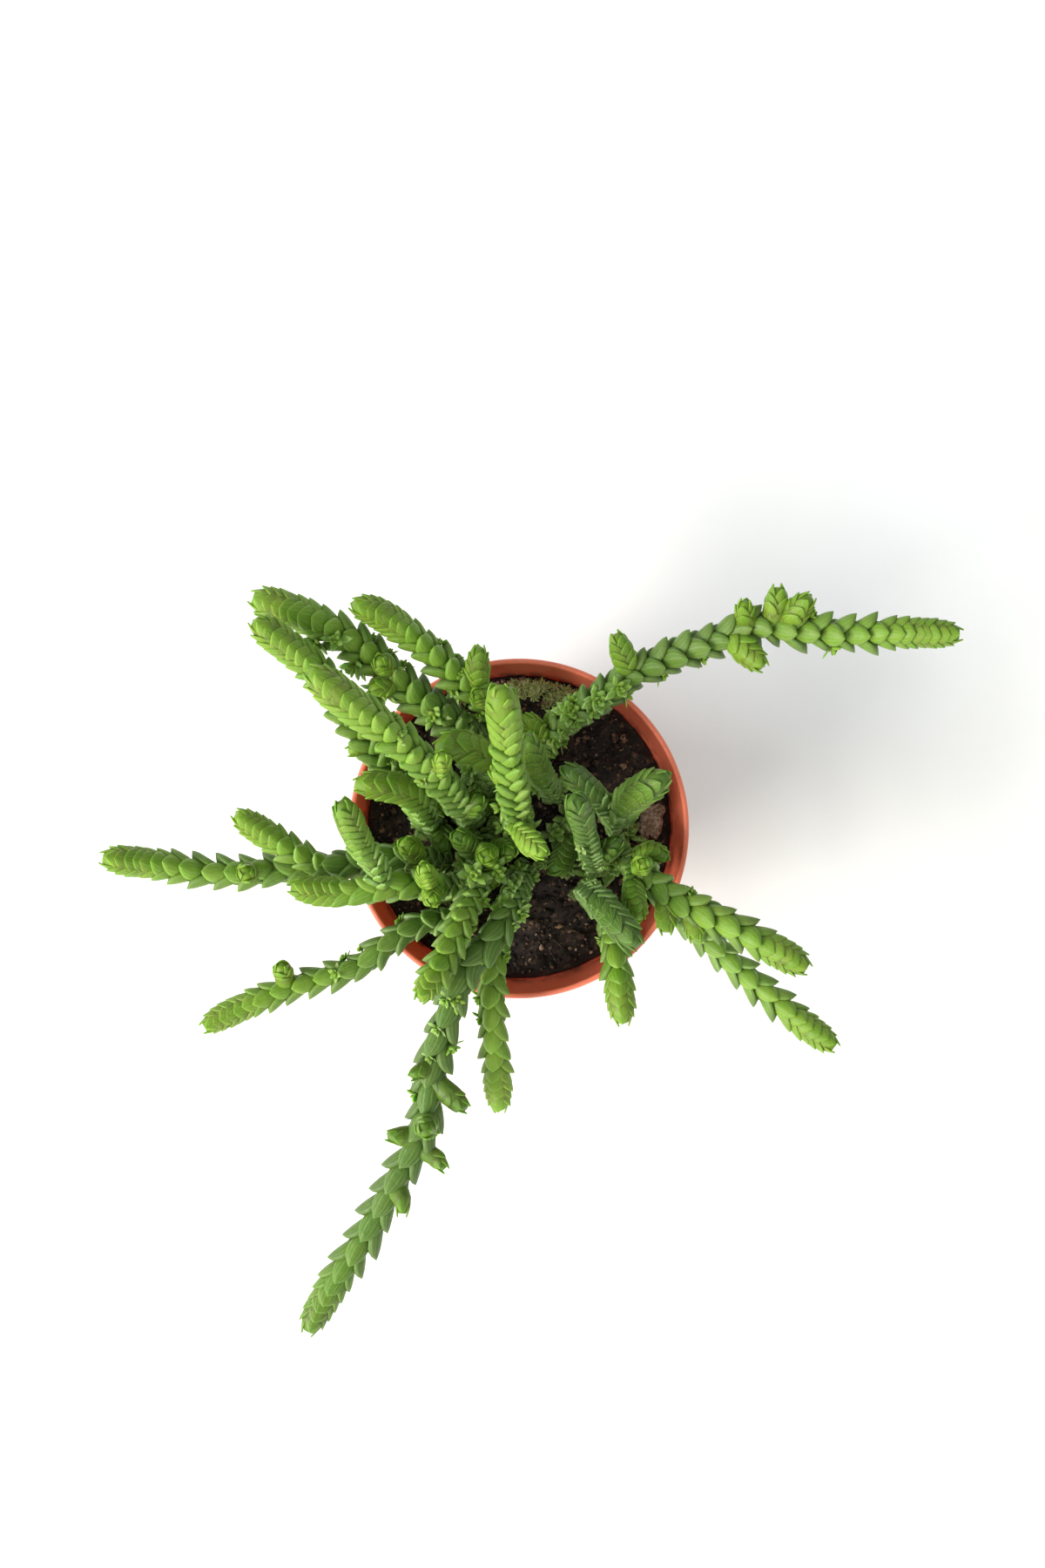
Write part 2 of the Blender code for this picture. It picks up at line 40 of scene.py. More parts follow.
# Each stem has a name, a thickness against the usual one, its route in millimetres from the root up,
# and its side shoots, which each have a thickness and a route that starts on the stem.
STEMS = (
    ("stem_left_long", 1.0,
     ((-12.5, -7, 34), (-13.5, -5.5, 44), (-19, -4.5, 51), (-27, -5.5, 53), (-33, -6, 54),
      (-40.5, -6.5, 55), (-48.5, -6.5, 56), (-57, -5, 58), (-64, -4, 61)),
     ((0.95, ((-30.5, -6, 53.5), (-34, -4, 56), (-39, -0.5, 58.5), (-43.5, 3, 61))),
      (0.8, ((-41.5, -6.5, 55), (-42, -6.5, 58), (-41.5, -6.5, 61))),
      (0.85, ((-16, -5, 47.5), (-17, -3, 53), (-18, -2, 57))))),
    ("stem_left_low", 1.0,
     ((-8, -10.5, 34), (-10, -10, 45), (-17, -8.5, 56), (-22.5, -9, 58), (-28.5, -9.5, 58),
      (-35.5, -8.5, 60)),
     ((0.9, ((-21, -9, 58), (-21.5, -5.5, 62), (-23.5, -1.5, 67), (-24.5, 2, 71), (-25.5, 5, 74))),
      (0.75, ((-13, -9.5, 51), (-14, -7.5, 58), (-14.5, -5, 63))),
      (0.7, ((-13.5, -9, 52), (-13.5, -10, 57), (-13, -11, 61))))),
    ("stem_lower_left", 0.9,
     ((-7.5, -17, 34), (-10, -15, 46), (-15.5, -15, 52), (-21.5, -18.5, 54), (-25.5, -21.5, 54),
      (-33.5, -24, 54.5), (-40.5, -26.5, 55), (-46, -29, 55.5), (-49.5, -31, 56.5)),
     ((0.75, ((-36.5, -24.5, 54.5), (-36.5, -22, 57), (-36.5, -20.5, 60))),)),
    ("stem_front_long", 1.0,
     ((1, -6, 34), (0.3, -8, 45), (-1, -11.5, 52.5), (-4, -16.5, 58), (-8.5, -22, 60), (-11, -28.5, 60),
      (-13, -35.5, 59), (-14, -42.5, 58), (-16, -49, 57), (-19, -54.5, 56), (-24, -63.5, 54),
      (-28.5, -70.5, 53), (-31.5, -75.5, 53), (-33.5, -79.5, 54)),
     ((0.85, ((-13, -38, 59), (-10.5, -40.5, 59.5), (-7.5, -42.5, 61))),
      (0.85, ((-14.5, -44.5, 58), (-14, -44.5, 62), (-14, -44.5, 66))),
      (0.8, ((-15.5, -47.5, 57), (-18, -47, 58.5), (-20.5, -46.5, 60))),
      (0.7, ((-16, -49, 57), (-13, -50.5, 57.5), (-11, -52.5, 58.5))),
      (0.75, ((-19.5, -55, 56), (-18, -57, 58), (-18, -59.5, 59))),
      (0.7, ((-13, -36.5, 59), (-15, -36.5, 61), (-16.5, -37, 63))))),
    ("stem_front_short", 0.95,
     ((-2.5, -13.5, 34), (-2.5, -14.5, 44), (-3.5, -19, 50.5), (-4.3, -24.5, 53), (-4, -31, 53.5),
      (-3.5, -38, 53), (-3, -45, 52.5)),
     ()),
    ("stem_front_right", 1.0,
     ((15, -15, 34), (15, -16, 45), (15.3, -19, 51), (15.7, -23, 53), (16, -27, 54),
      (16.5, -31, 54)),
     ()),
    ("stem_right_leaning", 1.0,
     ((11, -11.5, 34), (11.2, -10.7, 45), (12.2, -10.8, 56), (13.8, -12.4, 62), (15.8, -14.6, 66),
      (18, -17, 68)),
     ()),
    ("stem_right_upright", 0.9,
     ((12.8, -6.3, 34), (12.4, -5.8, 46), (10.9, -2.5, 57), (9.4, 1.8, 66), (8, 5.5, 73)),
     ((0.85, ((12.2, -5.3, 48), (14, -3.2, 53), (15.8, -1.5, 56.5))),)),
    ("stem_right_short", 1.1,
     ((18, 1.5, 34), (16, 1.5, 45), (16.5, 4, 55), (19, 6.5, 61), (22.5, 8.5, 65)),
     ((0.9, ((15.8, 2, 48), (13, 4.5, 54), (9.5, 7.5, 59), (6.5, 10, 62))),)),
    ("stem_lower_right", 1.05,
     ((18.2, -5.5, 34), (18, -5.7, 46), (20.5, -7.8, 53), (25, -11, 58), (31.5, -14, 61),
      (39, -18, 62), (44, -21, 63)),
     ((0.95, ((22, -8.7, 54.5), (26, -14, 53), (31, -18.5, 53), (37, -24, 53.5),
              (43.5, -29.5, 54.5), (49.5, -34, 57))),
      (0.8, ((18.6, -6.3, 49), (17.8, -8.5, 54.5), (17.8, -11, 58.5), (18.5, -13.5, 62))),
      (0.85, ((23, -9.6, 56), (22.8, -13, 57), (22.8, -16.3, 58))),
      (0.7, ((19, -6.2, 50), (19, -5.5, 57), (18.8, -4.8, 62))),
      (0.8, ((26.5, -11.6, 58.7), (27, -14.3, 59), (27, -17.3, 60))),
      (0.8, ((18.2, -5.7, 46.5), (20.8, -3.8, 51), (23.3, -4.2, 55))))),
    ("stem_right_long", 0.95,
     ((2.5, 11.5, 34), (3.5, 13, 45), (7, 17, 50), (13, 21, 54), (17, 24, 56), (23.5, 27, 58),
      (30, 29.5, 59), (36.5, 31.5, 60), (43, 30.5, 61), (50.5, 30, 62), (58.5, 30, 63),
      (66.5, 29.5, 65)),
     ((0.85, ((17, 24, 56), (16, 27, 59), (14.5, 30.5, 61))),
      (0.9, ((38.5, 31.5, 60.3), (39, 34.5, 62), (39, 37.5, 63))),
      (0.95, ((40.5, 31, 60.5), (42, 33.5, 63), (44, 35.5, 65))),
      (0.8, ((35, 31, 59.8), (34.2, 33, 62), (34, 35, 64))),
      (0.95, ((32.5, 30, 59.3), (34.5, 27.5, 61), (37.5, 24.5, 62))),
      (0.8, ((4.5, 14, 46.5), (2.5, 16, 51), (0.5, 18, 54))))),
    ("stem_centre_tall", 1.1,
     ((0, -2, 34), (0, 0, 46), (-0.5, 5, 62), (-1.5, 11, 72), (-2, 16, 79), (-2.5, 20.5, 85)),
     ((0.85, ((0, 1.5, 52), (0.5, -0.5, 60), (4, -3.5, 66))),
      (0.7, ((-0.5, 7, 65.5), (-3, 8.5, 68.5), (-4, 9.5, 70.5))))),
    ("stem_centre_low", 0.9,
     ((6.5, 4.5, 34), (5.5, 6, 44), (3.5, 8.5, 54), (2, 12, 60), (1.5, 15, 63)),
     ()),
    ("stem_upper_left_low", 1.1,
     ((-4.5, 12.5, 34), (-5.5, 13, 44), (-11.5, 17.5, 54), (-17, 21.5, 57.5), (-22, 26, 60.5),
      (-26.5, 29.5, 63), (-32.5, 32.5, 65), (-40, 35, 67)),
     ((0.75, ((-19, 23.5, 59), (-20.5, 25, 62), (-21, 26, 65))),
      (0.75, ((-19, 23, 58.5), (-20.5, 22, 61), (-22.5, 21.5, 64))))),
    ("stem_upper_left_middle", 1.0,
     ((-13.5, 3.5, 34), (-15.5, 5, 43), (-19.5, 8.5, 52), (-23, 13, 58), (-26, 17.5, 62),
      (-29.5, 23.5, 67), (-33.5, 27, 70), (-38.5, 31, 73)),
     ((0.7, ((-23.5, 13.5, 58.5), (-25, 12.5, 59), (-26.5, 12, 60))),)),
    ("stem_upper_left_high", 1.1,
     ((-8.5, 0, 34), (-8.5, 2.5, 48), (-11, 6.5, 61), (-14.5, 10.5, 69), (-19, 15, 75),
      (-23.5, 18.5, 79), (-29, 23, 83)),
     ((0.7, ((-12.5, 8.5, 64), (-11.5, 10, 69), (-11, 11.5, 73))),
      (0.85, ((-9, 3, 49), (-7, 4, 55), (-6, 5.5, 58))))),
    ("stem_upper_left_back", 1.0,
     ((-1, 17.5, 34), (-2, 18, 44), (-6, 20.5, 53), (-10, 24, 57), (-15.5, 29, 60.5),
      (-20.5, 32.5, 64), (-25, 34, 67)),
     ((0.85, ((-6.5, 21, 53.5), (-6.5, 24.5, 58), (-6, 28.5, 61))),
      (0.7, ((-5, 20, 51.5), (-6, 20.5, 57), (-6.5, 21, 61))))),
    ("stem_left_stub", 1.05,
     ((-14.5, -1.5, 34), (-14.5, 0.5, 44), (-15.5, 3.5, 52), (-17.5, 6, 58), (-21, 7, 61.5),
      (-25, 7, 64)),
     ((0.8, ((-14.5, 0.5, 43), (-12.8, -1.2, 47), (-12, -3.5, 51))),)),
    ("stem_centre_arched", 1.1,
     ((-4.5, 5.5, 34), (-4.5, 7.5, 44), (-5, 11, 54), (-9, 13, 60), (-13, 12.5, 62.5)),
     ()),
    ("stem_front_high", 0.95,
     ((-6, -5, 34), (-6, -6, 45), (-7, -10, 54), (-9.2, -14.5, 61.5), (-11.8, -20, 65), (-14.8, -25, 68)),
     ((0.85, ((-6, -5.5, 43), (-5.2, -4, 50), (-5, -4, 58))),
      (0.85, ((-6, -5.5, 44), (-3, -3.5, 49.5), (-1, -3.5, 54.5))),
      (0.85, ((-6, -5.5, 45), (-8, -2.7, 51.5), (-9.8, -0.5, 57))),
      (0.7, ((-6.3, -7, 48), (-4.5, -8, 51), (-3.8, -8.2, 54))))),
    ("stem_right_hidden", 0.85,
     ((9, -1, 34), (8, -3, 42), (6.5, -6, 46), (4.8, -7, 48)),
     ()),
)

# How each stem grows: "lax" is how far its new growth is drawn out, "stretch" how long its new leaves
# are, and "old" how many millimetres from the root it starts. "fresh" is how young the stem
# looks and how much light is painted on it: it shifts its colour towards young or old growth, and
# above zero it paints light on the whole stem and below zero painted shade. "roll" is how its leaves
# are turned at the tip, "twist" how far on they are turned at the root, both in degrees, "buds" the
# share of its old pairs of leaves that hold a bud, and "shoots" how single side shoots differ from it.
# "full" is how far its open leaves stand out, and "club" how long its closed end is, both against the
# usual.
USUAL = {"lax": 1.0, "stretch": 1.0, "old": 12, "fresh": 0.0, "twist": 45, "buds": 0.4,
         "full": 1.0, "club": 1.0, "shoots": {}}
HABITS = {
    "stem_left_long": {"shoots": {0: {"lax": 0.8, "old": -4, "club": 0.8}, 2: {"fresh": 0.1}}},
    "stem_front_long": {"stretch": 1.25, "old": 20, "fresh": -0.25, "buds": 0.8, "full": 1.08},
    "stem_right_long": {"stretch": 0.95, "fresh": -0.02, "buds": 0.9, "full": 1.2},
    "stem_front_short": {"stretch": 0.9, "fresh": 0.25, "club": 0.7},
    "stem_front_right": {"club": 0.7},
    "stem_centre_tall": {"lax": 0.3, "stretch": 1.6, "fresh": 0.05, "roll": 30, "twist": 30,
                         "shoots": {0: {"fresh": 0.22, "stretch": 1.0}, 1: {"fresh": 0.12}}},
    "stem_centre_low": {"lax": 0.0, "stretch": 1.2, "fresh": -0.25},
    "stem_upper_left_low": {"lax": 0.7, "buds": 1.2, "fresh": 0.02, "full": 1.1},
    "stem_upper_left_middle": {"lax": 0.6, "buds": 1.2, "full": 1.08},
    "stem_upper_left_back": {"lax": 0.7, "buds": 1.0, "full": 1.05},
    "stem_upper_left_high": {"lax": 0.3, "stretch": 1.2, "fresh": 0.06, "buds": 0.5,
                             "shoots": {0: {"fresh": 0.2}, 1: {"fresh": -0.25}}},
    "stem_left_low": {"roll": 30, "club": 0.8,
                      "shoots": {0: {"fresh": -0.15, "club": 1.0}, 1: {"fresh": 0.2}, 2: {"fresh": 0.1}}},
    "stem_right_upright": {"lax": 0.0, "stretch": 1.3, "roll": 40, "twist": 0, "fresh": -0.48},
    "stem_right_short": {"lax": 0.0, "stretch": 1.2, "fresh": -0.3,
                         "shoots": {0: {"fresh": -0.55, "club": 0.8}}},
    "stem_right_leaning": {"lax": 0.3, "stretch": 1.4, "old": 4, "fresh": -0.5},
    "stem_lower_right": {"club": 0.75,
                         "shoots": {0: {"lax": 1.0, "old": -6, "fresh": 0.0, "club": 0.75},
                                    1: {"fresh": -0.1}, 2: {"fresh": -0.1}, 5: {"fresh": -0.15}}},
    "stem_left_stub": {"lax": 0.2, "stretch": 1.3, "shoots": {0: {"fresh": -0.35}}},
    "stem_centre_arched": {"lax": 0.2, "stretch": 1.4, "fresh": -0.05},
    "stem_front_high": {"lax": 0.7, "stretch": 0.85, "old": 0, "fresh": 0.03, "buds": 0.7, "club": 0.35,
                        "shoots": {0: {"fresh": -0.08}, 1: {"fresh": -0.25}, 2: {"fresh": -0.3}}},
    "stem_right_hidden": {"lax": 0.0, "fresh": -0.4},
}

# Open buds low on the stems: where each sits and which way it faces, in millimetres, its size, its
# pairs of leaves and its brightness.
ROSETTES = {
    "stem_lower_right": (
        ((15.5, -5.6, 43), (-0.15, 0.1, 1), 5.4, 12, -0.15),
        ((18.2, -1.6, 42), (0.2, 0.6, 0.8), 3.2, 6, -0.3),
        ((20.8, -8, 45), (0.3, -0.5, 0.8), 2.6, 5, -0.1)),
    "stem_right_upright": (
        ((12, -8.2, 43), (-0.3, -0.4, 0.9), 3.2, 6, -0.2),
        ((11, -3.5, 43), (-0.5, 0.4, 0.8), 3.4, 6, -0.4)),
    "stem_right_hidden": (
        ((8.4, -6.2, 42), (0.1, -0.6, 0.8), 3.2, 6, -0.35),
        ((3.8, -5, 42), (-0.2, -0.6, 0.8), 3.2, 6, -0.35),
        ((6.3, -1, 42), (0, 0.1, 1), 3.6, 7, -0.4)),
    "stem_centre_low": (
        ((7.8, 1.6, 42), (0.4, 0.2, 0.9), 3.4, 6, -0.4),
        ((6.2, 5.6, 44), (0.6, 0.5, 0.6), 2.8, 5, -0.3)),
    "stem_front_high": (
        ((-8.6, -5.8, 46.5), (-0.5, 0.2, 0.85), 3.2, 7, -0.15),
        ((-6.9, -7, 55), (0, 0, 1), 3.2, 6, 0.1),
        ((-3.8, -6.6, 53), (0.3, -0.2, 0.9), 3, 6, 0.05),
        ((-9.2, -16.9, 63), (0.1, -0.2, 1), 2.2, 4, 0.35)),
    "stem_front_long": (
        ((-2.9, -12.4, 55), (0.3, 0, 1), 2.4, 5, 0.35),
        ((-6.6, -19.4, 60), (0.5, 0, 1), 2.3, 5, 0.3),
        ((-9.6, -25.5, 61.5), (0.3, 0, 1), 2, 4, 0.3)),
    "stem_centre_tall": (
        ((1.5, -0.5, 50), (0.6, -0.5, 0.7), 2.8, 5, -0.1),
        ((-2.2, 0.6, 50), (-0.7, -0.1, 0.7), 2.6, 5, -0.15),
        ((-2.6, 3.6, 57), (-0.8, -0.1, 0.6), 2.2, 5, 0.05)),
    "stem_centre_arched": (
        ((-4.8, 4.6, 44), (0.1, -0.5, 0.85), 3.4, 7, -0.2),
        ((-4.2, 2, 41.5), (0, -0.5, 0.85), 3.6, 7, -0.2),
        ((-4.5, -0.6, 41.2), (0, -0.3, 0.95), 3.2, 7, -0.15),
        ((-7.5, 9.6, 50.5), (-0.6, 0, 0.8), 3, 7, -0.15),
        ((-6.9, 7.6, 48), (-0.5, -0.1, 0.85), 2.8, 6, -0.1),
        ((-2.2, 8.6, 47), (0.6, 0, 0.8), 2.8, 6, -0.2)),
    "stem_upper_left_high": (
        ((-7.2, -1.6, 42), (0.1, -0.6, 0.8), 3.2, 6, -0.25),
        ((-10.6, -1, 43), (-0.5, -0.4, 0.8), 3, 6, -0.2)),
    "stem_upper_left_low": (
        ((-9.4, 17, 52.5), (0.3, 0.3, 0.9), 3, 7, -0.1),
        ((-13.2, 18, 57), (-0.1, -0.4, 0.9), 2.8, 6, 0),
        ((-27.2, 28.6, 65.6), (0, -0.1, 1), 2.3, 5, 0.05),
        ((-30.3, 28.8, 63.5), (-0.5, -0.7, 0.5), 3, 6, 0),
        ((-24.6, 25.6, 61.2), (-0.6, -0.6, 0.5), 3.4, 7, -0.05),
        ((-21.2, 21.6, 59.2), (-0.4, -0.8, 0.5), 3.4, 7, -0.05)),
    "stem_upper_left_middle": (
        ((-19, 9.6, 54), (0.4, 0.3, 0.85), 2.8, 6, -0.1),
        ((-29, 21.6, 68), (0.1, 0, 1), 2.2, 5, 0.1)),
    "stem_left_stub": (
        ((-12.8, -2, 43), (0.3, -0.4, 0.85), 3, 6, -0.2),
        ((-16.2, 1.2, 45), (-0.5, 0, 0.85), 2.6, 5, -0.1)),
    "stem_right_long": (
        ((4.3, 15.2, 48.8), (-0.3, 0.2, 1), 3.3, 7, -0.1),
        ((8.2, 18.6, 52.6), (0, 0.1, 1), 3.5, 8, 0),
        ((12.2, 20.4, 55.2), (0.1, -0.2, 1), 3.2, 7, -0.05),
        ((15.4, 22, 57.6), (0.2, -0.2, 1), 2.6, 6, 0.05)),
}

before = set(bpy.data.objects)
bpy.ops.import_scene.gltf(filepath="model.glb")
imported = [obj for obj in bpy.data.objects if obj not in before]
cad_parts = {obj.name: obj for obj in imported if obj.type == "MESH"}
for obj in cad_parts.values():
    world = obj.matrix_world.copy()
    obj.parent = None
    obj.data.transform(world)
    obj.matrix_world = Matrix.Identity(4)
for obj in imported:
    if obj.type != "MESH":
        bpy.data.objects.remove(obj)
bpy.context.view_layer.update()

# Leaves sit in pairs, and each pair is turned a quarter turn from the last. "tight" is how they stand
# on old growth near the soil, "lax" on the long shoots that reached for light, and "tip" on a closed
# end. Growth is old from STEM_AGE behind a tip, and a side shoot's closed end is SIDE_CLUB as long as a
# stem's.
STEM_SEED = 100
STEM_AGE = 34 * MM
SIDE_CLUB = 0.6
CURVE_STEP = 0.4 * MM
TIGHT_SPACING = 1.0 * MM
LAX_SPACING = 1.85 * MM
TIP_SPACING = 0.66 * MM
TIP_START = 5 * MM
TIP_ZONE = 14 * MM
DRAWN_OVER = 14 * MM
TIGHT_LEAF = 2.7 * MM
LAX_LEAF = 4.3 * MM
TIP_LEAF = 3.3 * MM
TIGHT_SPREAD = 2.55 * MM
LAX_SPREAD = 3.1 * MM
TIP_SPREAD = 2.48 * MM
TIP_DOME = 4.6 * MM
TIP_POINT = 0.55 * MM
TIP_CORE = 2.22 * MM
TIGHT_CORE = 1.6 * MM
LAX_CORE = 1.55 * MM
CORE_SIDES = 12
SOIL_LEVEL = 40 * MM
ROSETTE_TURN = math.radians(74)
ROSETTE_LEAF = 1.15 * MM

# A leaf's grid holds its rows, from its root to its tip, and its columns round it, outer face and then
# inner face. A leaf clasps the stem at its root, is thickest there, and stands free only near its tip.
LEAF_GRID = (np.array([0, 0.16, 0.32, 0.46, 0.6, 0.72, 0.83, 0.91, 0.97]),
             np.array([-1, -0.75, -0.38, 0, 0.38, 0.75, 1]), np.array([0.6, 0.2, -0.2, -0.6]))
BUD_GRID = (np.array([0, 0.3, 0.6, 0.85, 0.96]), np.array([-1, -0.5, 0, 0.5, 1]), np.array([0.5, -0.5]))
TIP_WRAP = math.radians(80)
TIGHT_WRAP = math.radians(60)
LAX_WRAP = math.radians(82)
LEAF_BACK = 1.7
LEAF_EDGE = 0.06 * MM
LEAF_BLADE = 0.32 * MM


def unit(vectors):
    return vectors / np.linalg.norm(vectors, axis=-1, keepdims=True)


def smooth(t):
    """A step from 0 to 1 that starts and ends level."""
    t = np.clip(t, 0, 1)
    return t * t * (3 - 2 * t)


class Route:
    """A smooth curve through a few points, with a frame along it whose side is level at the tip."""

    def __init__(self, stations):
        stations = np.array(stations, float) * MM
        padded = np.vstack([2 * stations[0] - stations[1], stations, 2 * stations[-1] - stations[-2]])
        pieces = [self.stretch(*padded[k - 1:k + 3]) for k in range(1, len(padded) - 2)]
        self.points = np.vstack(pieces + [stations[-1:]])
        steps = np.linalg.norm(np.diff(self.points, axis=0), axis=1)
        self.lengths = np.concatenate([[0], np.cumsum(steps)])
        self.length = self.lengths[-1]
        self.tangents = unit(np.gradient(self.points, axis=0))
        self.sides = np.zeros_like(self.points)
        side = np.cross(self.tangents[-1], (0, 0, 1))
        if np.linalg.norm(side) < 0.2:
            side = np.cross(self.tangents[-1], (0, 1, 0))
        for k in reversed(range(len(self.points))):
            side = unit(side - side.dot(self.tangents[k]) * self.tangents[k])
            self.sides[k] = side

    @staticmethod
    def stretch(before, start, end, after):
        """Points from start up to end on the curve that passes through all four."""
        count = max(3, round(np.linalg.norm(end - start) / CURVE_STEP))
        t = (np.arange(count) / count)[:, None]
        return 0.5 * (2 * start + (end - before) * t
                      + (2 * before - 5 * start + 4 * end - after) * t ** 2
                      + (3 * start - before - 3 * end + after) * t ** 3)

    def read(self, values, distance):
        """Vectors between those held along the route, at distances from its root."""
        flat = distance.ravel()
        found = [np.interp(flat, self.lengths, values[:, k]) for k in range(3)]
        return np.stack(found, -1).reshape(distance.shape + (3,))

    def place(self, distance, radius, angle):
        """Points at distances along the route, and out from it by radii at angles."""
        inside = np.clip(distance, 0, self.length)
        tangent = unit(self.read(self.tangents, inside))
        side = self.read(self.sides, inside)
        side = unit(side - (side * tangent).sum(-1, keepdims=True) * tangent)
        up = np.cross(tangent, side)
        base = self.read(self.points, inside) + (distance - inside)[..., None] * tangent
        return base + radius[..., None] * (np.cos(angle)[..., None] * side
                                           + np.sin(angle)[..., None] * up)

    def distance_to_height(self, z):
        """How far along the route it first comes up to a height."""
        return self.lengths[np.argmax(self.points[:, 2] >= z)]


class Shell:
    """Points, faces and named values for each point, gathered for one mesh."""

    def __init__(self):
        self.points = []
        self.quads = []
        self.triangles = []
        self.values = {}
        self.count = 0

    def add(self, points, quads, triangles, **values):
        """Adds points, faces that count from the first of them, and values for one or all of them."""
        points = points.reshape(-1, 3)
        self.points.append(points)
        self.quads.append(np.asarray(quads, int).reshape(-1, 4) + self.count)
        self.triangles.append(np.asarray(triangles, int).reshape(-1, 3) + self.count)
        for name, value in values.items():
            self.values.setdefault(name, []).append(np.broadcast_to(value, len(points)).ravel())
        self.count += len(points)

    def build(self, name, material):
        """Makes one object of all that was added."""
        points = np.vstack(self.points)
        quads = np.vstack(self.quads)
        triangles = np.vstack(self.triangles)
        mesh = bpy.data.meshes.new(name)
        mesh.vertices.add(len(points))
        mesh.vertices.foreach_set("co", points.ravel().astype(np.float32))
        corners = np.concatenate([quads.ravel(), triangles.ravel()])
        starts = np.concatenate([np.arange(len(quads)) * 4,
                                 len(quads) * 4 + np.arange(len(triangles)) * 3])
        mesh.loops.add(len(corners))
        mesh.loops.foreach_set("vertex_index", corners.astype(np.int32))
        mesh.polygons.add(len(starts))
        mesh.polygons.foreach_set("loop_start", starts.astype(np.int32))
        mesh.update(calc_edges=True)
        mesh.validate()
        for key, pieces in self.values.items():
            attribute = mesh.attributes.new(key, "FLOAT", "POINT")
            attribute.data.foreach_set("value", np.concatenate(pieces).astype(np.float32))
        mesh.shade_smooth()
        mesh.materials.append(material)
        obj = bpy.data.objects.new(name, mesh)
        bpy.context.scene.collection.objects.link(obj)
        return obj


def tube_faces(rings, sides):
    """Quads between rings of points that follow one another."""
    ring = np.arange(rings - 1)[:, None] * sides
    here = np.arange(sides)[None]
    after = (here + 1) % sides
    return np.stack([ring + here, ring + after, ring + sides + after, ring + sides + here], -1)


def end_fans(rings, sides):
    """Triangles that close a tube of rings at both ends, round one more point each after the rings."""
    here = np.arange(sides)
    after = (here + 1) % sides
    size = rings * sides
    foot = np.stack([np.full(sides, size), after, here], -1)
    head = np.stack([np.full(sides, size + 1), here, after], -1)
    head[:, 1:] += size - sides
    return np.concatenate([foot, head])


def leaf_outline(u, point):
    """How wide a leaf is from root to tip, against its root. Point is 0 if it is round, 1 if sharp."""
    blunt = np.clip(1 - u ** 2.4, 0, 1) ** 0.75
    sharp = np.clip(1 - u, 0, 1) ** 0.85 * (1 + 0.35 * u)
    return blunt + (sharp - blunt) * point


def leaf_faces(count, rows, sides):
    """Quads and triangles of many leaf shells, each of rows of points with one more at its tip."""
    size = rows * sides + 1
    offsets = (np.arange(count) * size)[:, None, None]
    here = np.arange(sides)
    last = size - 1 - sides
    cap = np.stack([last + here, last + (here + 1) % sides, np.full(sides, size - 1)], -1)
    root = np.stack([np.zeros(sides - 2, int), here[2:], here[1:-1]], -1)
    return tube_faces(rows, sides).reshape(1, -1, 4) + offsets, np.concatenate([cap, root])[None] + offsets


def add_leaves(shell, route, leaves, grid=LEAF_GRID):
    """Adds closed shells for many leaves. Each entry of leaves is an array with one value a leaf."""
    along, outer_columns, inner_columns = grid
    columns = np.concatenate([outer_columns, inner_columns])
    inner = np.arange(len(columns)) >= len(outer_columns)
    u = along[None, :, None]
    v = columns[None, None, :]
    each = {key: value[:, None, None] for key, value in leaves.items()}
    ends = leaves["start"] + leaves["length"]
    upward = route.place(ends, 0 * ends + MM, leaves["angle"]) - route.place(ends, 0 * ends, 0 * ends)
    upward = np.clip(upward[:, 2] / MM, 0, 1)
    # The outer face rises from root to tip in a curve, and falls away towards the leaf's side edges.
    tip_radius = leaves["tip_radius"] * (1 - 0.10 * upward * leaves["drawn"])
    rise = tip_radius[:, None, None] - each["root_radius"]
    power = LEAF_BACK - 0.35 * each["drawn"]
    back = each["root_radius"] + rise * np.where(rise > 0, 1 - (1 - u) ** power, u ** power)
    sag = 0.06 + 0.20 * u + 0.16 * each["drawn"] + 0.30 * each["plump"]
    drop = np.maximum(rise, 0.5 * MM) * sag * v ** 2
    # The inner face fills the leaf down to the stem as far as it is solid, and is a blade after that.
    free = np.clip((u - each["solid"]) / (1 - each["solid"]), 0, 1)
    wedge = (np.maximum(back - each["root_radius"], 0) + 0.15 * MM) * (1 - free ** 1.6)
    blade = LEAF_BLADE * each["size"] * (1 - u) ** 0.5
    thickness = inner * (LEAF_EDGE + (wedge + blade) * np.sqrt(np.clip(1 - v ** 2, 0, 1)))
    angle = each["angle"] + v * each["wrap"] * leaf_outline(u, each["point"])
    points = route.place(each["start"] + each["length"] * (u + 0 * v), back - drop - thickness, angle)
    tips = route.place(ends, tip_radius - 0.3 * LEAF_EDGE, leaves["angle"])
    count = len(ends)
    rows = len(along)
    sides = len(columns)

    def spread(values, tip):
        """Values over the grid of each leaf, with one more for its tip."""
        values = np.broadcast_to(values, (count, rows, sides)).reshape(count, -1)
        return np.concatenate([values, np.full((count, 1), tip)], 1)

    margin = np.maximum(np.where(inner, 0.75, 1.0) * np.abs(v) ** 3, smooth((u - 0.9) / 0.1))
    reach = spread(u, 1.0)
    # Painted shade: drawn-out leaves that point sideways rather than up are marked to be painted darker
    # and greyer, more so towards their tips.
    sideways = leaves["drawn"] * (1 - upward)
    grey = (0.3 + 0.7 * smooth((reach - 0.3) / 0.6)) * sideways[:, None]
    whole = {key: np.repeat(leaves[key], rows * sides + 1) for key in ("age", "tone", "fresh")}
    points = np.concatenate([points.reshape(count, -1, 3), tips[:, None]], 1)
    shell.add(points, *leaf_faces(count, rows, sides), reach=reach.ravel(), grey=grey.ravel(),
              margin=(spread(margin, 1.0) * leaves["pale"][:, None]).ravel(),
              across=spread(np.abs(v), 0.0).ravel(), **whole)


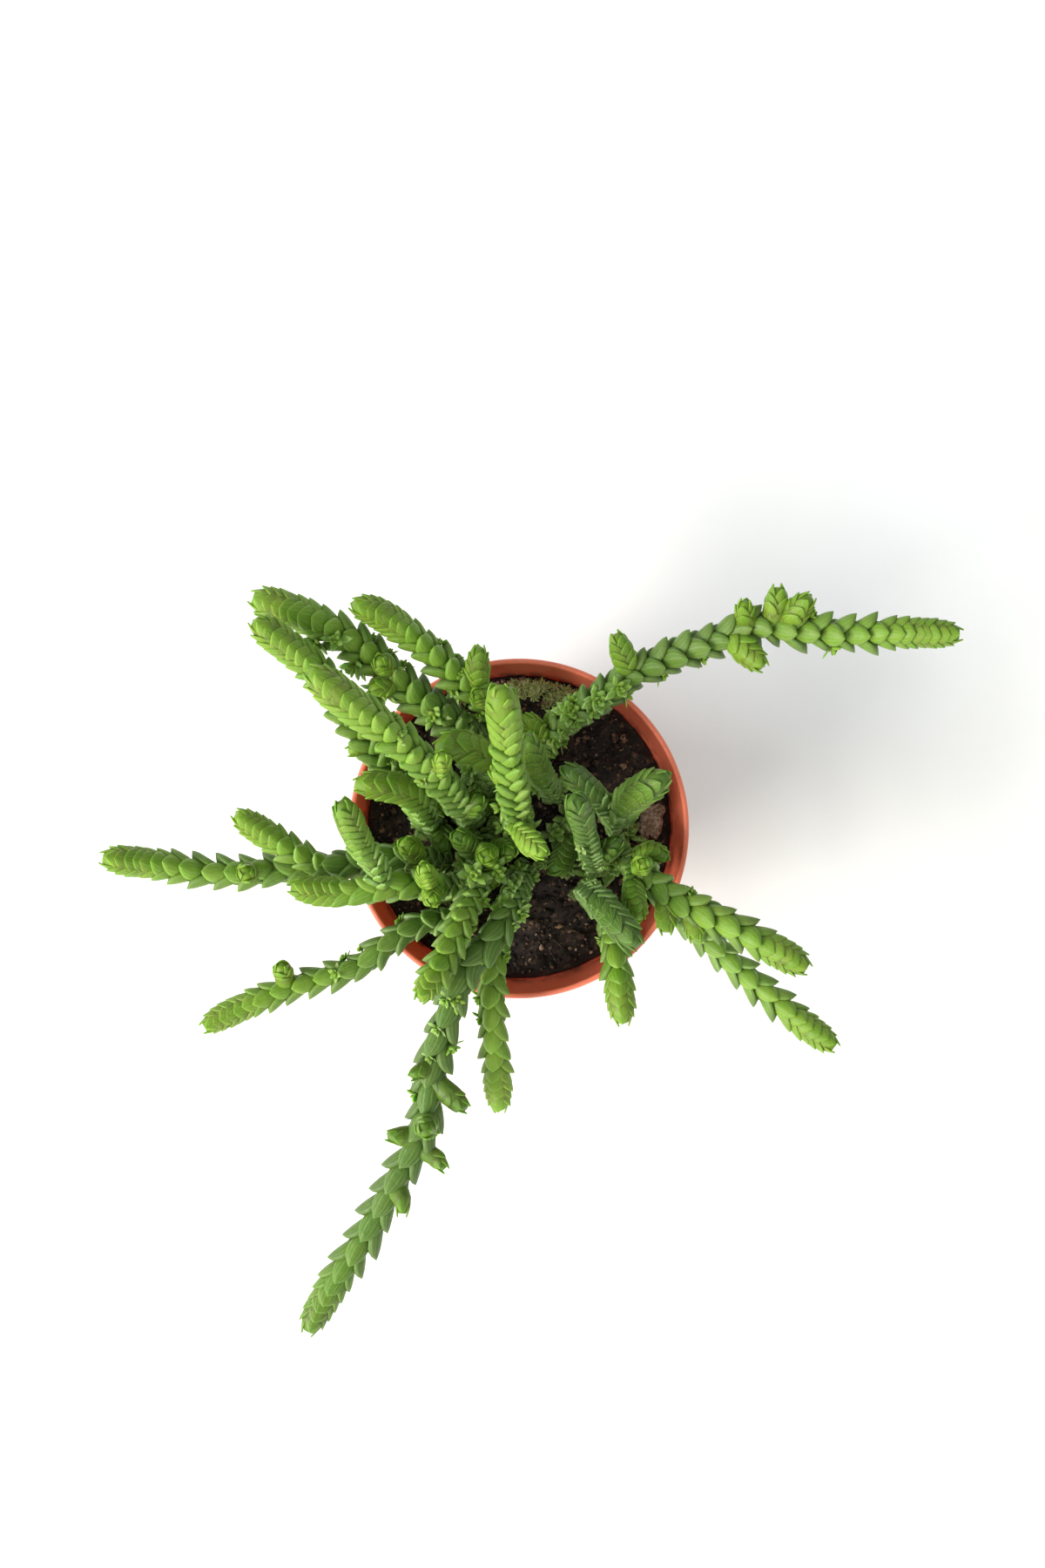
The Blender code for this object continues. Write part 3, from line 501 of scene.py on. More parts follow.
def both_sides(draw, pairs, side):
    """Values for all leaves of some pairs, from what side gives for a turn and five rows of jitter."""
    sides = [side(turn, draw.normal(0, 1, (5, pairs))) for turn in (0, math.pi)]
    return {key: np.concatenate([np.broadcast_to(one[key], pairs) for one in sides]) for key in sides[0]}


def drawn_out(reach, habit):
    """How lax the growth is this far from the root, from 0 to 1."""
    return smooth((reach - habit["old"] * MM) / DRAWN_OVER) * habit["lax"]


def grown_up(left, habit):
    """How far the growth this far from a tip has drawn out and opened, from 0 to 1."""
    return smooth((left / habit["club"] - TIP_START) / (TIP_ZONE - TIP_START))


def between(low, high, share):
    return low + (high - low) * share


def leaf_length(left, reach, habit):
    """How long the leaves are whose tips are this far from the shoot's tip and from its root."""
    full = between(TIGHT_LEAF, LAX_LEAF * habit["stretch"], drawn_out(reach, habit))
    return between(TIP_LEAF * habit["stretch"], full, grown_up(left, habit))


def leaf_tips(route, start, habit):
    """Where each pair's tips lie along the route, from its end back to its first leaves."""
    tips = [route.length - 0.05 * MM]
    while tips[-1] - leaf_length(route.length - tips[-1], tips[-1], habit) > start:
        left = route.length - tips[-1]
        full = between(TIGHT_SPACING, LAX_SPACING * habit["stretch"], drawn_out(tips[-1], habit))
        tips.append(tips[-1] - float(between(TIP_SPACING * habit["stretch"], full, grown_up(left, habit))))
    return np.array(tips)


def tip_dome(left):
    """How wide a closed end is this far from its tip, from 0 to 1."""
    return np.sqrt(1 - (1 - np.clip(left / TIP_DOME, 0, 1)) ** 2)


def core_radius(left, reach, habit, thickness):
    full = between(TIGHT_CORE, LAX_CORE, drawn_out(reach, habit))
    full = between(TIP_CORE, full, grown_up(left, habit))
    return thickness * between(0.12 * MM, full, tip_dome(left - 0.5 * MM))


def add_shoot(shell, draw, route, thickness, start, roll, habit):
    """One stem or side shoot: its core, and its leaves in pairs. Returns where their tips lie."""
    tips = leaf_tips(route, start, habit)
    pairs = len(tips)
    left = route.length - tips
    lengths = leaf_length(left, tips, habit) * (0.35 + 0.65 * thickness)
    stretched = drawn_out(tips, habit)
    opened = grown_up(left, habit)
    drawn = stretched * opened
    full = between(TIP_SPREAD, habit["full"] * between(TIGHT_SPREAD, LAX_SPREAD, stretched), opened)
    wrap = between(TIP_WRAP, between(TIGHT_WRAP, LAX_WRAP, stretched), opened)
    dome = tip_dome(left)
    spread = between(TIP_POINT, thickness * full, dome)
    facing = roll + math.pi / 2 * np.arange(pairs) + math.radians(habit["twist"]) * left / route.length

    def side(turn, jitter):
        return {
            "start": tips - lengths * (1 + 0.05 * jitter[0]),
            "length": lengths * (1 + 0.05 * jitter[0]) + 0.10 * MM * jitter[1] * smooth(left / TIP_DOME),
            "root_radius": core_radius(left + lengths, tips, habit, thickness) - 0.12 * MM,
            "tip_radius": spread * (1 + (0.03 + 0.04 * opened) * jitter[2]),
            "angle": facing + turn + (0.05 + 0.07 * opened) * jitter[3],
            "wrap": wrap * (0.75 + 0.25 * dome) * (1 + 0.04 * jitter[4]),
            "size": thickness,
            "solid": between(0.94, between(0.76, 0.86, stretched), opened),
            "point": 0.35 * drawn * smooth((tips - 8 * MM) / (20 * MM)) + 0.45 * (1 - opened),
            "plump": opened * (1 - drawn),
            "drawn": drawn,
            "pale": 1 - 0.6 * np.maximum(smooth((tips - 16 * MM) / (16 * MM)), 1 - opened),
            "age": np.clip((left + 1.5 * MM) / STEM_AGE, 0, 1),
            "tone": 0.5 * jitter[4],
            "fresh": habit["fresh"],
        }

    add_leaves(shell, route, both_sides(draw, pairs, side))
    add_core(shell, route, thickness, habit)
    return tips


def add_core(shell, route, thickness, habit):
    """The round stalk that carries the leaves."""
    distances = np.linspace(0, route.length - 0.7 * MM, max(6, int(route.length / MM)))
    left = route.length - distances
    radius = core_radius(left, distances, habit, thickness)
    turns = np.arange(CORE_SIDES) * math.tau / CORE_SIDES
    points = route.place(distances[:, None] + 0 * turns, radius[:, None] + 0 * turns,
                         turns + 0 * distances[:, None])
    ends = route.place(distances[[0, -1]], np.zeros(2), np.zeros(2))
    age = np.clip(np.concatenate([np.repeat(left, CORE_SIDES), left[[0, -1]]]) / STEM_AGE, 0, 1)
    points = np.vstack([points.reshape(-1, 3), ends])
    shell.add(points, tube_faces(len(distances), CORE_SIDES), end_fans(len(distances), CORE_SIDES),
              margin=0, reach=0, across=0, grey=0, age=age, tone=-0.3, fresh=habit["fresh"])


def add_rosette(shell, draw, place, out, size, pairs, fresh):
    """An open bud: pairs of pointed leaves round one place, the outer ones nearly flat."""
    axis = Route(np.array([place, place + size * out]) / MM)
    inward = np.arange(pairs) / (pairs - 1)

    def side(turn, jitter):
        length = size * (1 - 0.45 * inward) * (1 + 0.08 * jitter[0])
        tilt = np.radians(76 - 56 * inward) + 0.1 * jitter[1]
        width = max(ROSETTE_LEAF, 0.52 * size) * (1 + 0.08 * jitter[3])
        return {
            "start": 0.15 * size * inward,
            "length": length * np.cos(tilt),
            "root_radius": 0.06 * size,
            "tip_radius": length * np.sin(tilt),
            "angle": turn + ROSETTE_TURN * np.arange(pairs) + 0.1 * jitter[2],
            "wrap": width / (length * np.sin(tilt)),
            "size": 0.6,
            "solid": 0.25,
            "point": 0.3,
            "plump": 0.0,
            "drawn": 0.0,
            "pale": 1.0,
            "age": np.clip(0.55 - 0.45 * inward - fresh, 0, 1),
            "tone": 0.5 * jitter[4],
            "fresh": 0.0,
        }

    add_leaves(shell, axis, both_sides(draw, pairs, side), BUD_GRID)


def add_axil_buds(shell, draw, route, tips, roll, habit):
    """Small open buds in the angles of some leaves, most of them on old growth."""
    for k, tip in enumerate(tips):
        if route.length - tip < TIP_ZONE or draw.uniform() > habit["buds"] / (1 + (tip / STEM_AGE) ** 2):
            continue
        twist = math.radians(habit["twist"]) * (route.length - tip) / route.length
        angle = np.array(roll + twist + math.pi / 2 * k + math.pi * draw.integers(2))
        low = route.place(np.array(tip), np.array(1.7 * MM * habit["full"]), angle)
        high = route.place(np.array(tip + 0.8 * MM), np.array(2.8 * MM), angle)
        size = draw.uniform(1.3, 2.1) * MM * habit["full"]
        add_rosette(shell, draw, low, unit(high - low), size, 5, habit["fresh"] + draw.uniform(0, 0.3))


class Nodes:
    """A material's node tree, with short ways to add what the finishes below are made of."""

    def __init__(self, name):
        self.material = bpy.data.materials.new(name)
        self.material.use_nodes = True
        self.tree = self.material.node_tree
        self.shader = self.tree.nodes["Principled BSDF"]

    def add(self, kind, inputs=(), **settings):
        """Adds a node. Its inputs are given by name or number, each as a value or another's output."""
        node = self.tree.nodes.new("ShaderNode" + kind)
        for key, value in settings.items():
            setattr(node, key, value)
        for key, value in dict(inputs).items():
            self.set(node.inputs[key], value)
        return node

    def set(self, socket, value):
        if isinstance(value, bpy.types.NodeSocket):
            self.tree.links.new(value, socket)
        else:
            socket.default_value = value

    def value(self, name):
        """A value that the mesh holds for each of its points."""
        return self.add("Attribute", attribute_name=name).outputs["Fac"]

    def place(self):
        return self.add("TexCoord").outputs["Object"]

    def height(self):
        return self.add("SeparateXYZ", {0: self.place()}).outputs["Z"]

    def math(self, operation, first, second):
        return self.add("Math", {0: first, 1: second}, operation=operation).outputs[0]

    def ranged(self, value, low, high, to_low=0.0, to_high=1.0):
        """The value, moved from between low and high to another range, and kept inside it."""
        return self.add("MapRange", {0: value, 1: low, 2: high, 3: to_low, 4: to_high}).outputs[0]

    def noise(self, size, detail=3, roughness=0.5):
        """Noise from 0 to 1 whose lumps are about this many metres across."""
        inputs = {"Vector": self.place(), "Scale": 1 / size, "Detail": detail, "Roughness": roughness}
        return self.add("TexNoise", inputs).outputs["Fac"]

    def mix(self, factor, first, second, blend="MIX"):
        node = self.add("Mix", data_type="RGBA", blend_type=blend)
        for socket, value in ((node.inputs[0], factor), (node.inputs[6], first), (node.inputs[7], second)):
            self.set(socket, value)
        return node.outputs[2]

    def ramp(self, factor, stops):
        node = self.add("ValToRGB", {0: factor})
        band = node.color_ramp.elements
        while len(band) < len(stops):
            band.new(0.5)
        for element, (place, colour) in zip(band, stops):
            element.position = place
            element.color = (*colour, 1)
        return node.outputs[0]

    def bump(self, height, distance, strength=1.0, under=None):
        inputs = {"Height": height, "Distance": distance, "Strength": strength}
        if under is not None:
            inputs["Normal"] = under
        return self.add("Bump", inputs).outputs[0]

    def finish(self, **sockets):
        """Sets the shader's inputs, named with low lines for spaces, and gives back the material."""
        for key, value in sockets.items():
            self.set(self.shader.inputs[key.replace("_", " ")], value)
        return self.material


# How far apart a leaf's veins are, as a share of half its width.
VEIN_SPACING = 0.28


def leaf_material():
    """Fleshy leaves: lime at the tips and deep green on old growth, with veins and pale thin margins,
    painted shade in the axils and on leaves that point sideways, and painted light on some stems and
    painted shade on others.
    """
    n = Nodes("leaf")
    age = n.math("SUBTRACT", n.value("age"), n.value("fresh"))
    age = n.math("ADD", age, n.ranged(n.noise(6 * MM, 2), 0.3, 0.7, -0.1, 0.1))
    colour = n.ramp(age, (
        (0.0, (0.178, 0.262, 0.017)),
        (0.2, (0.190, 0.288, 0.023)),
        (0.5, (0.208, 0.312, 0.036)),
        (1.0, (0.150, 0.222, 0.040)),
    ))
    # Painted shade and light, stem by stem: a stem given a value below zero is painted darker, as if it
    # lay in shade, and one above zero is painted lighter, as if in sun.
    shaded = n.ranged(n.value("fresh"), 0.0, -0.5, 0.0, 0.7)
    colour = n.mix(shaded, colour, (0.032, 0.072, 0.012, 1))
    sunny = n.ranged(n.value("fresh"), 0.0, 0.5, 0.0, 0.6)
    colour = n.mix(sunny, colour, (0.420, 0.580, 0.110, 1))
    tone = n.ranged(n.value("tone"), -1, 1, 0.0, 0.45)
    colour = n.mix(tone, colour, (0.17, 0.36, 0.05, 1), "SOFT_LIGHT")
    mottle = n.ranged(n.noise(0.7 * MM, 4, 0.65), 0.35, 0.65, 0.0, 0.5)
    colour = n.mix(mottle, colour, (0.30, 0.50, 0.20, 1), "SOFT_LIGHT")
    across = n.math("ADD", n.value("across"), n.ranged(n.noise(2 * MM, 2), 0, 1, 0, 0.1))
    vein = n.ranged(n.math("PINGPONG", across, VEIN_SPACING / 2), 0.0, 0.06, 0.36, 0.0)
    vein = n.math("MULTIPLY", vein, n.ranged(n.value("reach"), 0.1, 0.4))
    colour = n.mix(vein, colour, (0.30, 0.43, 0.13, 1))
    # Painted shade on leaves that point sideways, darker and greyer towards their tips.
    grey = n.math("MULTIPLY", n.value("grey"), 0.7)
    colour = n.mix(grey, colour, (0.080, 0.118, 0.040, 1))
    margin = n.math("POWER", n.value("margin"), 2.4)
    margin = n.math("MULTIPLY", margin, n.ranged(age, 0.1, 0.6, 0.08, 0.85))
    colour = n.mix(margin, colour, (0.38, 0.54, 0.21, 1))
    # Painted shade in the leaf axils: each leaf is painted darker near its root, where it is hidden under
    # the leaves above, more on older growth.
    root = n.math("MULTIPLY", n.ranged(n.value("reach"), 0.0, 0.45, 0.6, 0.0), n.ranged(age, -0.1, 0.5))
    colour = n.mix(root, colour, (0.060, 0.125, 0.016, 1))
    withered = n.ranged(n.height(), SOIL_LEVEL + 0.5 * MM, SOIL_LEVEL + 3.5 * MM, 0.75, 0.0)
    colour = n.mix(withered, colour, (0.115, 0.075, 0.035, 1))
    fine = n.bump(n.noise(0.22 * MM, 2), 0.03 * MM, 0.5)
    normal = n.bump(n.noise(0.9 * MM, 3), 0.20 * MM, 0.6, fine)
    normal = n.bump(vein, 0.05 * MM, 0.5, normal)
    rough = n.ranged(n.noise(1.5 * MM, 3), 0.3, 0.7, 0.42, 0.58)
    n.shader.inputs["Subsurface Radius"].default_value = (0.5, 1.0, 0.2)
    n.shader.inputs["Sheen Tint"].default_value = (0.75, 1.0, 0.45, 1)
    return n.finish(Base_Color=colour, Roughness=rough, Normal=normal, Subsurface_Weight=0.45,
                    Subsurface_Scale=1.1 * MM, Specular_IOR_Level=0.3, Sheen_Weight=0.05,
                    Sheen_Roughness=0.35)


def pot_material():
    """Satin terracotta plastic, a little uneven, with soil rubbed on its inside, a painted highlight along
    its lip and painted light on its inside.
    """
    n = Nodes("terracotta plastic")
    cloud = n.ranged(n.noise(14 * MM, 3), 0.3, 0.7)
    colour = n.mix(cloud, (0.470, 0.100, 0.050, 1), (0.545, 0.128, 0.068, 1))
    # Painted highlight: the top of the rolled lip is painted a lighter orange, as if lit from above.
    lip_highlight = n.ranged(n.height(), POT_HEIGHT - 1.2 * MM, POT_HEIGHT - 0.3 * MM)
    colour = n.mix(lip_highlight, colour, (0.780, 0.200, 0.112, 1))
    # Painted light: the inside of the pot is painted a brighter orange than its outside.
    colour = n.mix(n.value("inside"), colour, (1.0, 0.235, 0.135, 1))
    speck = n.ranged(n.noise(0.5 * MM, 2), 0.62, 0.7, 0.0, 0.3)
    colour = n.mix(speck, colour, (0.46, 0.090, 0.045, 1))
    low = n.ranged(n.height(), SOIL_LEVEL, SOIL_LEVEL + 3 * MM, 0.7, 0.03)
    smear = n.math("MULTIPLY", n.value("inside"), low)
    smear = n.math("MULTIPLY", smear, n.ranged(n.noise(2.2 * MM, 4), 0.4, 0.62))
    colour = n.mix(smear, colour, (0.075, 0.040, 0.028, 1))
    worn = n.ranged(n.height(), 0.2 * MM, 2.5 * MM, 0.35, 0.0)
    worn = n.math("MULTIPLY", worn, n.ranged(n.noise(1.6 * MM, 4), 0.4, 0.65))
    colour = n.mix(worn, colour, (0.20, 0.10, 0.070, 1))
    rough = n.ranged(n.noise(3 * MM, 4), 0.3, 0.7, 0.32, 0.46)
    scuff = n.bump(n.noise(0.35 * MM, 3), 0.02 * MM, 0.5)
    normal = n.bump(n.noise(9 * MM, 1), 0.12 * MM, 0.35, scuff)
    n.shader.inputs["Subsurface Radius"].default_value = (1.0, 0.35, 0.2)
    return n.finish(Base_Color=colour, Roughness=rough, Normal=normal, Subsurface_Weight=0.35,
                    Subsurface_Scale=1.5 * MM, Specular_IOR_Level=0.5)


def soil_material():
    """Dark peat, from nearly black through brown to tan crumbs and pale grit."""
    n = Nodes("soil")
    tone = n.math("ADD", n.value("tone"), n.ranged(n.noise(0.5 * MM, 4), 0.3, 0.7, -0.15, 0.17))
    colour = n.ramp(tone, (
        (0.0, (0.010, 0.008, 0.007)),
        (0.4, (0.038, 0.025, 0.020)),
        (0.62, (0.110, 0.064, 0.042)),
        (0.82, (0.260, 0.160, 0.090)),
        (1.0, (0.520, 0.360, 0.300)),
    ))
    normal = n.bump(n.noise(0.25 * MM, 4), 0.12 * MM, 0.8)
    return n.finish(Base_Color=colour, Roughness=0.85, Normal=normal, Specular_IOR_Level=0.3)


def moss_material():
    """Moss, from olive to pale yellow leaf by leaf."""
    n = Nodes("moss")
    tone = n.ranged(n.value("tone"), -1, 1)
    colour = n.ramp(tone, ((0.0, (0.240, 0.270, 0.090)), (0.5, (0.740, 0.780, 0.280)),
                           (1.0, (0.980, 0.960, 0.560))))
    return n.finish(Base_Color=colour, Roughness=0.7, Subsurface_Weight=0.1,
                    Subsurface_Scale=0.3 * MM, Specular_IOR_Level=0.3)


def floor_material():
    """A pale matt floor, a little cloudy and uneven."""
    n = Nodes("floor")
    cloud = n.ranged(n.noise(40 * MM, 4), 0.35, 0.65)
    colour = n.mix(cloud, (0.86, 0.85, 0.84, 1), (0.90, 0.895, 0.89, 1))
    normal = n.bump(n.noise(7 * MM, 5), 0.3 * MM, 0.3)
    return n.finish(Base_Color=colour, Roughness=0.75, Normal=normal, Specular_IOR_Level=0.2)


# The pot keeps the sizes of its solid. It is a turned shell with rounded edges and a rolled lip.
POT_HEIGHT = 48 * MM
POT_TOP_RADIUS = 27.5 * MM
POT_BASE_RADIUS = 19 * MM
WALL = 0.9 * MM
BASE_THICKNESS = 1.4 * MM
BASE_RECESS = 0.35 * MM
COLLAR_HEIGHT = 10 * MM
COLLAR_FOOT_RADIUS = 26.2 * MM
COLLAR_STEP = 1.5 * MM
LIP_RADIUS = 0.45 * MM
POT_SEGMENTS = 176
DRAIN_HOLES = 5
DRAIN_RADIUS = 2.2 * MM
DRAIN_CIRCLE = 12.5 * MM
DRAIN_SEGMENTS = 32


def pot_outer_radius(z):
    """The radius of the pot's outside at a height."""
    step = POT_HEIGHT - COLLAR_HEIGHT
    if z > step:
        return COLLAR_FOOT_RADIUS + (POT_TOP_RADIUS - COLLAR_FOOT_RADIUS) * (z - step) / COLLAR_HEIGHT
    return POT_BASE_RADIUS + (COLLAR_FOOT_RADIUS - COLLAR_STEP - POT_BASE_RADIUS) * z / step


def arc(x, z, radius, first, last, count=6):
    """Points on an arc about (x, z), between two angles in degrees."""
    turns = np.radians(np.linspace(first, last, count))
    return [(x + radius * math.cos(t), z + radius * math.sin(t)) for t in turns]


def pot_profile():
    """The pot's outline from the middle of its underside, up its outside, and down to its floor."""
    step = POT_HEIGHT - COLLAR_HEIGHT
    under = COLLAR_FOOT_RADIUS - COLLAR_STEP
    # The underside, with the moulding mark in its middle, and the rounded foot.
    outline = [(0, BASE_RECESS - 0.3 * MM), (1.1 * MM, BASE_RECESS - 0.3 * MM), (1.4 * MM, BASE_RECESS),
               (16.2 * MM, BASE_RECESS), (16.8 * MM, 0.05 * MM), (17 * MM, 0)]
    outline += arc(POT_BASE_RADIUS - 0.75 * MM, 0.8 * MM, 0.8 * MM, -90, -8)
    # The outside: the wall, the step out to the collar, the collar and the lip.
    outline += [(pot_outer_radius(z * MM), z * MM) for z in range(4, 37, 4)]
    outline += [(under, step - 0.7 * MM), (under + 0.15 * MM, step - 0.25 * MM)]
    outline += arc(COLLAR_FOOT_RADIUS - 0.35 * MM, step + 0.35 * MM, 0.35 * MM, -90, 0, 5)
    outline += [(pot_outer_radius(z * MM), z * MM) for z in (39.6, 42, 44, 46, 46.6)]
    outline += arc(POT_TOP_RADIUS - LIP_RADIUS, POT_HEIGHT - LIP_RADIUS, LIP_RADIUS, 0, 180, 11)
    # The inside, down past the collar's ledge to the pot's floor.
    inner = POT_TOP_RADIUS - 2 * LIP_RADIUS
    outline += [(inner - 0.03 * MM, 47.1 * MM), (inner - 0.2 * MM, 46 * MM)]
    outline += [(pot_outer_radius(z * MM) - WALL, z * MM) for z in (44, 42, 40)]
    outline += [(pot_outer_radius(step + 0.4 * MM) - WALL, step + 0.8 * MM)]
    outline += [(pot_outer_radius(step) - WALL - 0.1 * MM, step)]
    outline += [(pot_outer_radius(z * MM) - WALL, z * MM) for z in (30, 22, 14, 6)]
    base = pot_outer_radius(BASE_THICKNESS) - WALL
    outline += [(base - 0.16 * MM, BASE_THICKNESS + 0.8 * MM), (base - 0.8 * MM, BASE_THICKNESS)]
    outline += [(0, BASE_THICKNESS)]
    return outline


def turned(profile, segments):
    """Points, quads and triangles of a profile turned about Z. It starts and ends on the axis."""
    turns = np.arange(segments) * math.tau / segments
    rings = np.array(profile[1:-1])
    points = np.stack([rings[:, :1] * np.cos(turns), rings[:, :1] * np.sin(turns),
                       rings[:, 1:] + 0 * turns], -1).reshape(-1, 3)
    ends = np.array([(0, 0, profile[0][1]), (0, 0, profile[-1][1])])
    return np.vstack([points, ends]), tube_faces(len(rings), segments), end_fans(len(rings), segments)


def cut(obj, cutters):
    """Cuts the cutters out of an object for good, and removes them."""
    group = bpy.data.collections.new("cutters")
    bpy.context.scene.collection.children.link(group)
    for cutter in cutters:
        for owner in list(cutter.users_collection):
            owner.objects.unlink(cutter)
        group.objects.link(cutter)
    change = obj.modifiers.new("cut", "BOOLEAN")
    change.operation = "DIFFERENCE"
    change.operand_type = "COLLECTION"
    change.collection = group
    graph = bpy.context.evaluated_depsgraph_get()
    mesh = bpy.data.meshes.new_from_object(obj.evaluated_get(graph))
    obj.modifiers.clear()
    obj.data = mesh
    for cutter in cutters:
        bpy.data.objects.remove(cutter, do_unlink=True)
    bpy.data.collections.remove(group)


def make_pot():
    """The pot, with its drain holes cut through its base."""
    shell = Shell()
    points, quads, triangles = turned(pot_profile(), POT_SEGMENTS)
    radius = np.hypot(points[:, 0], points[:, 1])
    wall = np.array([pot_outer_radius(z) for z in points[:, 2]])
    inside = ((radius < wall - 0.5 * WALL) & (points[:, 2] > BASE_THICKNESS - 0.1 * MM)).astype(float)
    shell.add(points, quads, triangles, inside=inside)
    pot = shell.build("terracotta_pot", pot_material())
    outline = [(0, -2 * MM), (DRAIN_RADIUS, -2 * MM), (DRAIN_RADIUS, 3 * MM), (0, 3 * MM)]
    drains = []
    for k in range(DRAIN_HOLES):
        turn = math.tau * k / DRAIN_HOLES
        plug = Shell()
        plug.add(*turned(outline, DRAIN_SEGMENTS), inside=0)
        drain = plug.build(f"drain_{k}", pot.data.materials[0])
        drain.location = (DRAIN_CIRCLE * math.cos(turn), DRAIN_CIRCLE * math.sin(turn), 0)
        drains.append(drain)
    cut(pot, drains)
    pot.data.shade_smooth()
    pot.data.set_sharp_from_angle(angle=math.radians(50))
    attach(pot, BODY)
    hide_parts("pot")


# The soil, what lies on it, and the moss. LARGE_CRUMBS and TAN_CRUMBS are shares of all crumbs, and
# FIBRE_TAPER is how thick a bit of root is along its length, against its girth.
SOIL_RADIUS = 25.3 * MM
SOIL_RINGS = 84
SOIL_SEGMENTS = 200
SOIL_SEED = 5
LUMP_WAVES = 12
CRUMBS = 3000
LARGE_CRUMBS = 0.2
TAN_CRUMBS = 0.26
GRIT = 26
FIBRES = 70
FIBRE_STEP = 0.45 * MM
FIBRE_TAPER = np.array([0.4, 0.8, 1, 1, 1, 0.95, 0.85, 0.7, 0.35])
BARK_PLACE = (22.0 * MM, 1.2 * MM, SOIL_LEVEL + 0.9 * MM)
BARK_HALF_WIDTH = 2.1 * MM
BARK_HALF_LENGTH = 2.9 * MM
BARK_TURN = math.radians(-14)
BARK_TILT = math.radians(-9)
MOSS_SEED = 31
MOSS_LEAVES = 70

# Each tuft of moss: where it stands and about how large it is, in millimetres.
MOSS = ((-0.4, 23.5, 1.6), (1.7, 23.7, 1.4), (3.6, 23.3, 1.7), (5.8, 23.0, 1.4), (7.6, 22.4, 1.7),
        (9.5, 21.7, 1.5), (11.2, 21.0, 1.2), (2.6, 22.0, 1.2), (5.0, 21.7, 1.3), (6.6, 21.1, 1.0),
        (4.4, 20.4, 0.9), (8.6, 20.5, 1.0), (0.6, 22.0, 1.0))


def lumps(x, y, size, seed):
    """Smooth noise between -1 and 1 over a plane, as a sum of waves in seeded directions."""
    draw = np.random.default_rng(seed)
    total = np.zeros_like(x)
    for _ in range(LUMP_WAVES):
        turn = draw.uniform(0, math.tau)
        stretch = draw.uniform(0.6, 1.7) * math.tau / (2 * size)
        total += np.sin((x * math.cos(turn) + y * math.sin(turn)) * stretch + draw.uniform(0, math.tau))
    return total / LUMP_WAVES ** 0.5


def soil_height(x, y):
    """How high the soil's lumpy top is at x and y."""
    heaps = 0.40 * lumps(x, y, 7 * MM, 1) + 0.30 * lumps(x, y, 2.6 * MM, 2)
    clods = 0.34 * np.abs(lumps(x, y, 1.3 * MM, 3)) + 0.10 * lumps(x, y, 0.55 * MM, 4)
    return SOIL_LEVEL + (heaps + clods - 0.25) * MM


def on_soil(x, y, lift=0.0):
    """The place on the soil at x and y, or a little above it."""
    return np.array([x, y, soil_height(np.array([x]), np.array([y]))[0] + lift])


def add_soil_body(shell):
    """The soil itself: a plug that fills the pot, with a lumpy top that dips at the wall."""
    turns = np.arange(SOIL_SEGMENTS) * math.tau / SOIL_SEGMENTS
    radii = SOIL_RADIUS * np.linspace(1, 0, SOIL_RINGS, endpoint=False) ** 0.8
    x = radii[:, None] * np.cos(turns)
    y = radii[:, None] * np.sin(turns)
    edge = smooth((SOIL_RADIUS - radii[:, None]) / (1.2 * MM))
    z = SOIL_LEVEL - 0.5 * MM + edge * (soil_height(x, y) - SOIL_LEVEL + 0.5 * MM)
    top = np.stack([x, y, z], -1)
    step = POT_HEIGHT - COLLAR_HEIGHT
    bottom = BASE_THICKNESS + 0.3 * MM
    foot = pot_outer_radius(bottom) - WALL - 0.4 * MM
    under = [(foot - 0.8 * MM, bottom), (foot, bottom + 1.2 * MM),
             (pot_outer_radius(step - 0.6 * MM) - WALL - 0.5 * MM, step - 0.6 * MM),
             (SOIL_RADIUS - 0.5 * MM, step + 1.3 * MM)]
    walls = np.array([[(r * math.cos(t), r * math.sin(t), h) for t in turns] for r, h in under])
    points = np.concatenate([walls, top]).reshape(-1, 3)
    tone = 0.27 + 0.13 * lumps(points[:, 0], points[:, 1], 2.2 * MM, 8)
    tone = tone + 0.10 * lumps(points[:, 0], points[:, 1], 0.7 * MM, 9)
    rings = len(under) + SOIL_RINGS
    shell.add(np.vstack([points, (0, 0, bottom), on_soil(0.0, 0.0)]), tube_faces(rings, SOIL_SEGMENTS),
              end_fans(rings, SOIL_SEGMENTS), tone=np.concatenate([tone, [0.2, 0.2]]))


def make_soil(material):
    """The soil with all that lies on it."""
    shell = Shell()
    draw = np.random.default_rng(SOIL_SEED)
    add_soil_body(shell)
    add_crumbs(shell, draw)
    add_fibres(shell, draw)
    add_bark(shell, draw)
    soil = shell.build("potting_soil", material)
    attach(soil, BODY)
    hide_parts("soil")


def ball(split):
    """The points and triangles of an icosahedron, with each side split in four where that is asked."""
    golden = (1 + 5 ** 0.5) / 2
    corners = [(-1, golden, 0), (1, golden, 0), (-1, -golden, 0), (1, -golden, 0),
               (0, -1, golden), (0, 1, golden), (0, -1, -golden), (0, 1, -golden),
               (golden, 0, -1), (golden, 0, 1), (-golden, 0, -1), (-golden, 0, 1)]
    sides = [(0, 11, 5), (0, 5, 1), (0, 1, 7), (0, 7, 10), (0, 10, 11), (1, 5, 9), (5, 11, 4),
             (11, 10, 2), (10, 7, 6), (7, 1, 8), (3, 9, 4), (3, 4, 2), (3, 2, 6), (3, 6, 8),
             (3, 8, 9), (4, 9, 5), (2, 4, 11), (6, 2, 10), (8, 6, 7), (9, 8, 1)]
    points = [unit(np.array(c, float)) for c in corners]
    if not split:
        return np.array(points), np.array(sides)
    middles = {}

    def middle(a, b):
        key = (min(a, b), max(a, b))
        if key not in middles:
            middles[key] = len(points)
            points.append(unit(points[a] + points[b]))
        return middles[key]

    triangles = []
    for a, b, c in sides:
        ab, bc, ca = middle(a, b), middle(b, c), middle(c, a)
        triangles += [(a, ab, ca), (b, bc, ab), (c, ca, bc), (ab, bc, ca)]
    return np.array(points), np.array(triangles)


